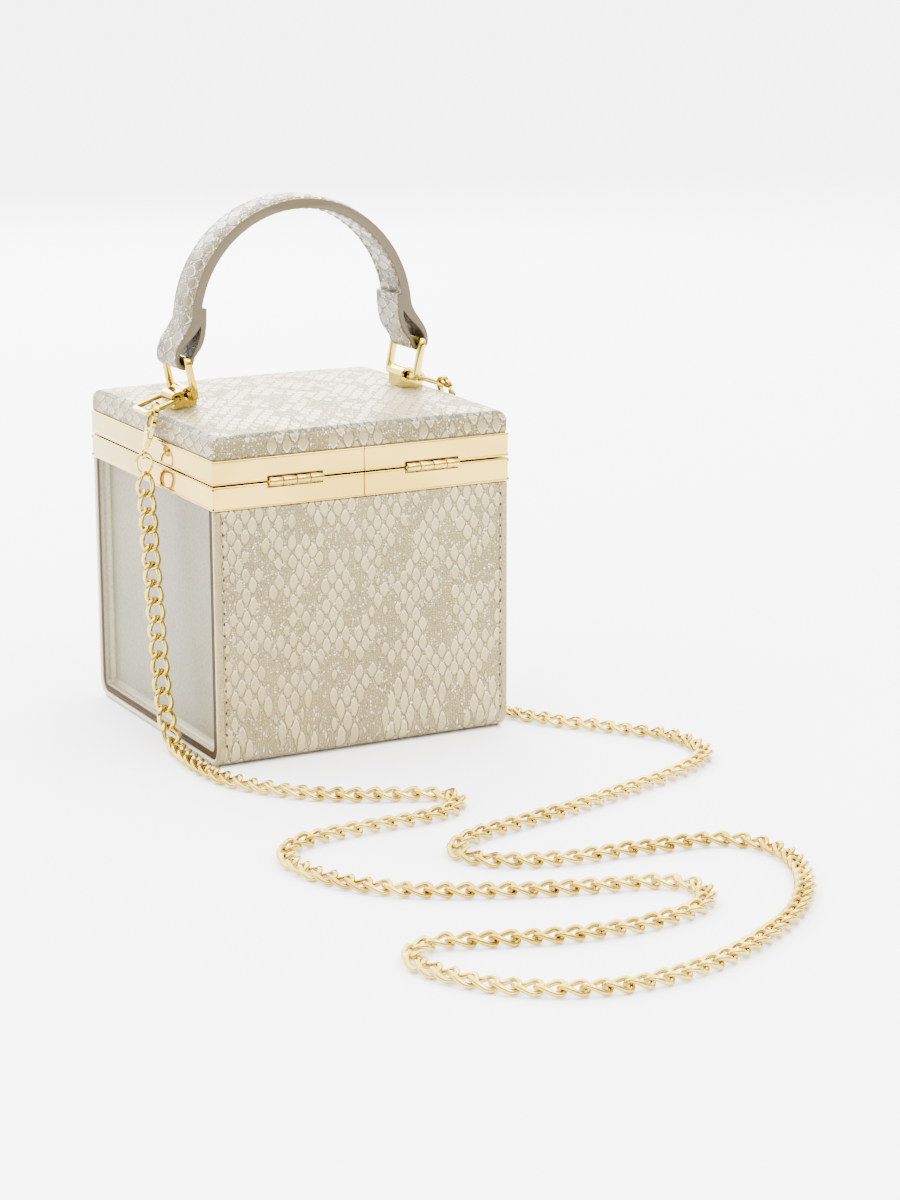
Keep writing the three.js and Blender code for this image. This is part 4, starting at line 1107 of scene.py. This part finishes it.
def build_handle():
    outline = outer_side + mirrored_path(outer_side)[1:] + mirrored_path(inner_side) + inner_side[1:]
    data = bpy.data.curves.new("handle_outline", "CURVE")
    data.dimensions = "2D"
    data.fill_mode = "BOTH"
    roll = 0.55
    data.extrude = (strap_width / 2 - roll) * MM
    data.bevel_depth = roll * MM
    data.bevel_resolution = 3
    data.offset = -roll * MM
    loops = [outline, open_fold, mirrored_path(open_fold)]
    for loop in loops:
        spline = data.splines.new("POLY")
        spline.points.add(len(loop) - 1)
        spline.use_cyclic_u = True
        for point, (x, z) in zip(spline.points, loop):
            point.co = (x * MM, z * MM, 0, 1)
    holder = bpy.data.objects.new("handle_outline", data)
    bpy.context.scene.collection.objects.link(holder)
    bpy.context.view_layer.update()
    made = bpy.data.meshes.new_from_object(holder.evaluated_get(bpy.context.evaluated_depsgraph_get()))
    bpy.data.objects.remove(holder)
    made.transform(Matrix.Rotation(math.pi / 2, 4, "X"))
    made.name = "handle_strap"
    made.materials.clear()
    made.materials.append(handle_leather)
    made.materials.append(edge_paint)
    made.materials.append(fold_shade_leather)
    piece = bpy.data.objects.new("handle_strap", made)
    bpy.context.scene.collection.objects.link(piece)
    joined = bmesh.new()
    joined.from_mesh(made)
    bmesh.ops.remove_doubles(joined, verts=joined.verts, dist=1e-6)
    for y in (-8, -6.8, -4.6, -2, 2, 4.6, 6.8, 8):
        bmesh.ops.bisect_plane(joined, geom=joined.verts[:] + joined.edges[:] + joined.faces[:],
                               plane_co=(0, y * MM, 0), plane_no=(0, 1, 0))
    for vertex in joined.verts:
        x, y, z = vertex.co / MM
        from_centre = math.hypot(x, max(z - arc_centre, 0))
        if from_centre > arc_radius - 1.2 and z > arc_centre - 4:
            rise = strap_pad * max(0, 1 - (abs(y) / 8) ** 3) * min(1, (z - arc_centre + 4) / 6)
            vertex.co.x += x / from_centre * rise * MM
            vertex.co.z += max(z - arc_centre, 0) / from_centre * rise * MM
    joined.to_mesh(made)
    joined.free()
    facing_out(piece)
    for face in made.polygons:
        x, _, z = face.center / MM
        # Faces inside the open folds take fold_shade_leather, painted shade.
        in_fold = min(math.hypot(abs(x) - p[0], z - p[1]) for p in open_fold) < 1.1
        face.material_index = 1 if abs(face.normal.y) > 0.6 else 2 if in_fold else 0
    made.shade_smooth()
    made.set_sharp_from_angle(angle=math.radians(50))

    def place(point, _):
        if point.z > arc_centre:
            return arc_radius * math.atan2(point.x, point.z - arc_centre) + 400, point.y
        return math.copysign(arc_radius * math.pi / 2 + arc_centre - point.z, point.x) + 400, point.y
    unwrap(piece, place)
    return piece


handle = build_handle()
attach(handle, "lid")
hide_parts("handle")


def strap_rows():
    """Stitch places on the outer and inner faces of the strap, near both edges."""
    places = []
    upper = arc(0, arc_centre, arc_radius + 0.02, 0.02, math.pi - 0.02, 80)
    under = arc(0, arc_centre, inner_radius - 0.02, tail_angle + 0.05, math.pi - tail_angle - 0.05, 80)
    for y in (-strap_width / 2 + 2.0, strap_width / 2 - 2.0):
        for path, sign in ((upper, 1), (under, -1)):
            line = [(x, y, z) for x, z in path]
            places += row_places(line, lambda p, s=sign: Vector((p.x, 0, p.z - arc_centre)).normalized() * s, 3.6)
    return places


handle_stitches = copies("handle_stitches", stitch, strap_rows(), thread, looseness=0.05, seed=9)
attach(handle_stitches, "lid")


# The chain strap: about two hundred flattened curb links of 1.6 mm wire at 7 mm pitch. It
# hangs from an oval ring in the eye of each clasp and lies in loose loops in front.

link_pitch, link_wide, wire_size = 7.0, 7.8, 0.95
clasp_turn, clasp_lean, clasp_long = math.radians(80), math.radians(16), 16.6
clasp_setback, leg_forward = 2.4, 7.3
oval_wide, oval_high, oval_wire = 3.1, 3.9, 0.5
chain_route = [
    (-67.0, -9.0, 89), (-67.0, -11.6, 68), (-67.0, -15.0, 46), (-67.0, -18.6, 24), (-67.2, -24.0, 10),
    (-67.6, -33.0, 3.2), (-68.6, -46, 2.6), (-69, -64, 2.6), (-66, -81, 2.6), (-56, -99, 2.6),
    (-38, -117, 2.6), (-16, -128, 2.6), (-4, -134.5, 2.6), (-3.5, -144, 2.6), (-13, -153, 2.6),
    (-36, -155, 2.6), (-63, -157, 2.6), (-79, -164, 2.6), (-85, -177, 2.6), (-81, -198, 2.6),
    (-65, -220, 2.6), (-36, -237, 2.6), (-4, -248, 2.6), (16, -254, 2.6), (24, -264, 2.6),
    (17, -279, 2.6), (-3, -286, 2.6), (-34, -285, 2.6), (-62, -276, 2.6), (-80, -271, 2.6),
    (-90, -279, 2.6), (-89, -293, 2.6), (-77, -313, 2.6), (-54, -328, 2.6), (-24, -330, 2.6),
    (9, -319, 2.6), (42, -297, 2.6), (63, -268, 2.6), (69, -244, 2.6), (60, -227, 2.6),
    (30, -221, 2.6), (-3, -217.5, 2.6), (-25, -206.5, 2.6), (-29.5, -194, 2.6), (-18, -183, 2.6),
    (23, -172, 2.6), (64, -158.5, 2.6), (95, -146, 2.6), (109, -133, 2.6), (110, -111, 2.6),
    (95, -87, 2.6), (80, -68, 2.6), (71, -50, 2.6), (68, -36, 3.2), (67.2, -26, 10), (67, -19.6, 24),
    (67, -15.5, 46), (67, -12, 68), (67, -9.4, 89),
]


def clasp_eye():
    out = Vector((math.cos(link_slope), 0, -math.sin(link_slope)))
    hang = chain_lug + out * (link_reach - clasp_setback) - Vector((0, leg_forward, 0))
    return hang - Vector((-math.sin(clasp_lean), 0, math.cos(clasp_lean))) * clasp_long


def spline_through(points, per_span=40):
    """Centripetal spline through the points, as a dense list."""
    points = [np.array(p, float) for p in points]
    padded = [2 * points[0] - points[1]] + points + [2 * points[-1] - points[-2]]
    dense = []
    for i in range(1, len(padded) - 2):
        p0, p1, p2, p3 = padded[i - 1:i + 3]
        t = [0.0]
        for a, b in ((p0, p1), (p1, p2), (p2, p3)):
            t.append(t[-1] + np.linalg.norm(b - a) ** 0.5)
        for k in range(per_span):
            s = t[1] + (t[2] - t[1]) * k / per_span
            a1 = (t[1] - s) / (t[1] - t[0]) * p0 + (s - t[0]) / (t[1] - t[0]) * p1
            a2 = (t[2] - s) / (t[2] - t[1]) * p1 + (s - t[1]) / (t[2] - t[1]) * p2
            a3 = (t[3] - s) / (t[3] - t[2]) * p2 + (s - t[2]) / (t[3] - t[2]) * p3
            b1 = (t[2] - s) / (t[2] - t[0]) * a1 + (s - t[0]) / (t[2] - t[0]) * a2
            b2 = (t[3] - s) / (t[3] - t[1]) * a2 + (s - t[1]) / (t[3] - t[1]) * a3
            dense.append((t[2] - s) / (t[2] - t[1]) * b1 + (s - t[1]) / (t[2] - t[1]) * b2)
    dense.append(points[-1])
    return dense


link_half, link_side = link_pitch / 2 + wire_size, link_wide / 2 - wire_size


def link_path(count=28):
    """The centre line of one curb link: an oval twisted so that its ends cross its neighbours."""
    path = []
    for i in range(count):
        angle = 2 * math.pi * i / count
        c, s = math.cos(angle), math.sin(angle)
        x = link_half * math.copysign(abs(c) ** 0.8, c)
        y = link_side * math.copysign(abs(s) ** 0.8, s)
        twist = math.radians(44) * x / link_half
        path.append((x, y * math.cos(twist), y * math.sin(twist)))
    return path


link_pattern = rod_along(link_path(), wire_size, sides=10, closed=True, name="link_pattern")
eye_right = clasp_eye()
ring_foot = eye_right.z - 2 * oval_high - wire_size
line = spline_through([(-eye_right.x, eye_right.y, ring_foot)] + chain_route + [(eye_right.x, eye_right.y, ring_foot)])
steps = [float(np.linalg.norm(b - a)) for a, b in zip(line, line[1:])]
whole_length = sum(steps)
link_count = round(whole_length / link_pitch)
travel = np.concatenate([[0], np.cumsum(steps)])
targets = (np.arange(link_count) + 0.5) * whole_length / link_count
centres = np.array([[np.interp(t, travel, [p[k] for p in line]) for k in range(3)] for t in targets])
link_places = []
for i, centre in enumerate(centres):
    before, after = centres[max(i - 1, 0)], centres[min(i + 1, link_count - 1)]
    along = Vector(after - before).normalized()
    steep = min(max((abs(along.z) - 0.25) / 0.5, 0), 1)
    facing = Vector((0, 0, 1)).lerp(Vector((0, -1, 0)), steep)
    link_places.append((centre, along, facing))
chain = copies("chain_links", link_pattern, link_places, chain_gold, looseness=0.07, seed=4)
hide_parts("chain_strap")
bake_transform(chain)

for side, word in ((-1, "left"), (1, "right")):
    through = Vector((side * -math.cos(clasp_lean) * math.sin(clasp_turn), -math.cos(clasp_turn), 0)).normalized()
    middle = across_x(eye_right, side) - Vector((0, 0, oval_high))
    path = [middle + through * oval_wide * math.cos(a) + Vector((0, 0, oval_high)) * math.sin(a)
            for a in (2 * math.pi * i / 32 for i in range(32))]
    oval = rod_along(path, oval_wire, sides=10, closed=True, name=f"{word}_oval_ring_wire")
    oval.data.materials.append(chain_gold)
    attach(oval, "lid")
    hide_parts(f"{word}_oval_ring")

for pattern in (stitch, hole, knuckle, pin, link_pattern):
    bpy.data.objects.remove(pattern)
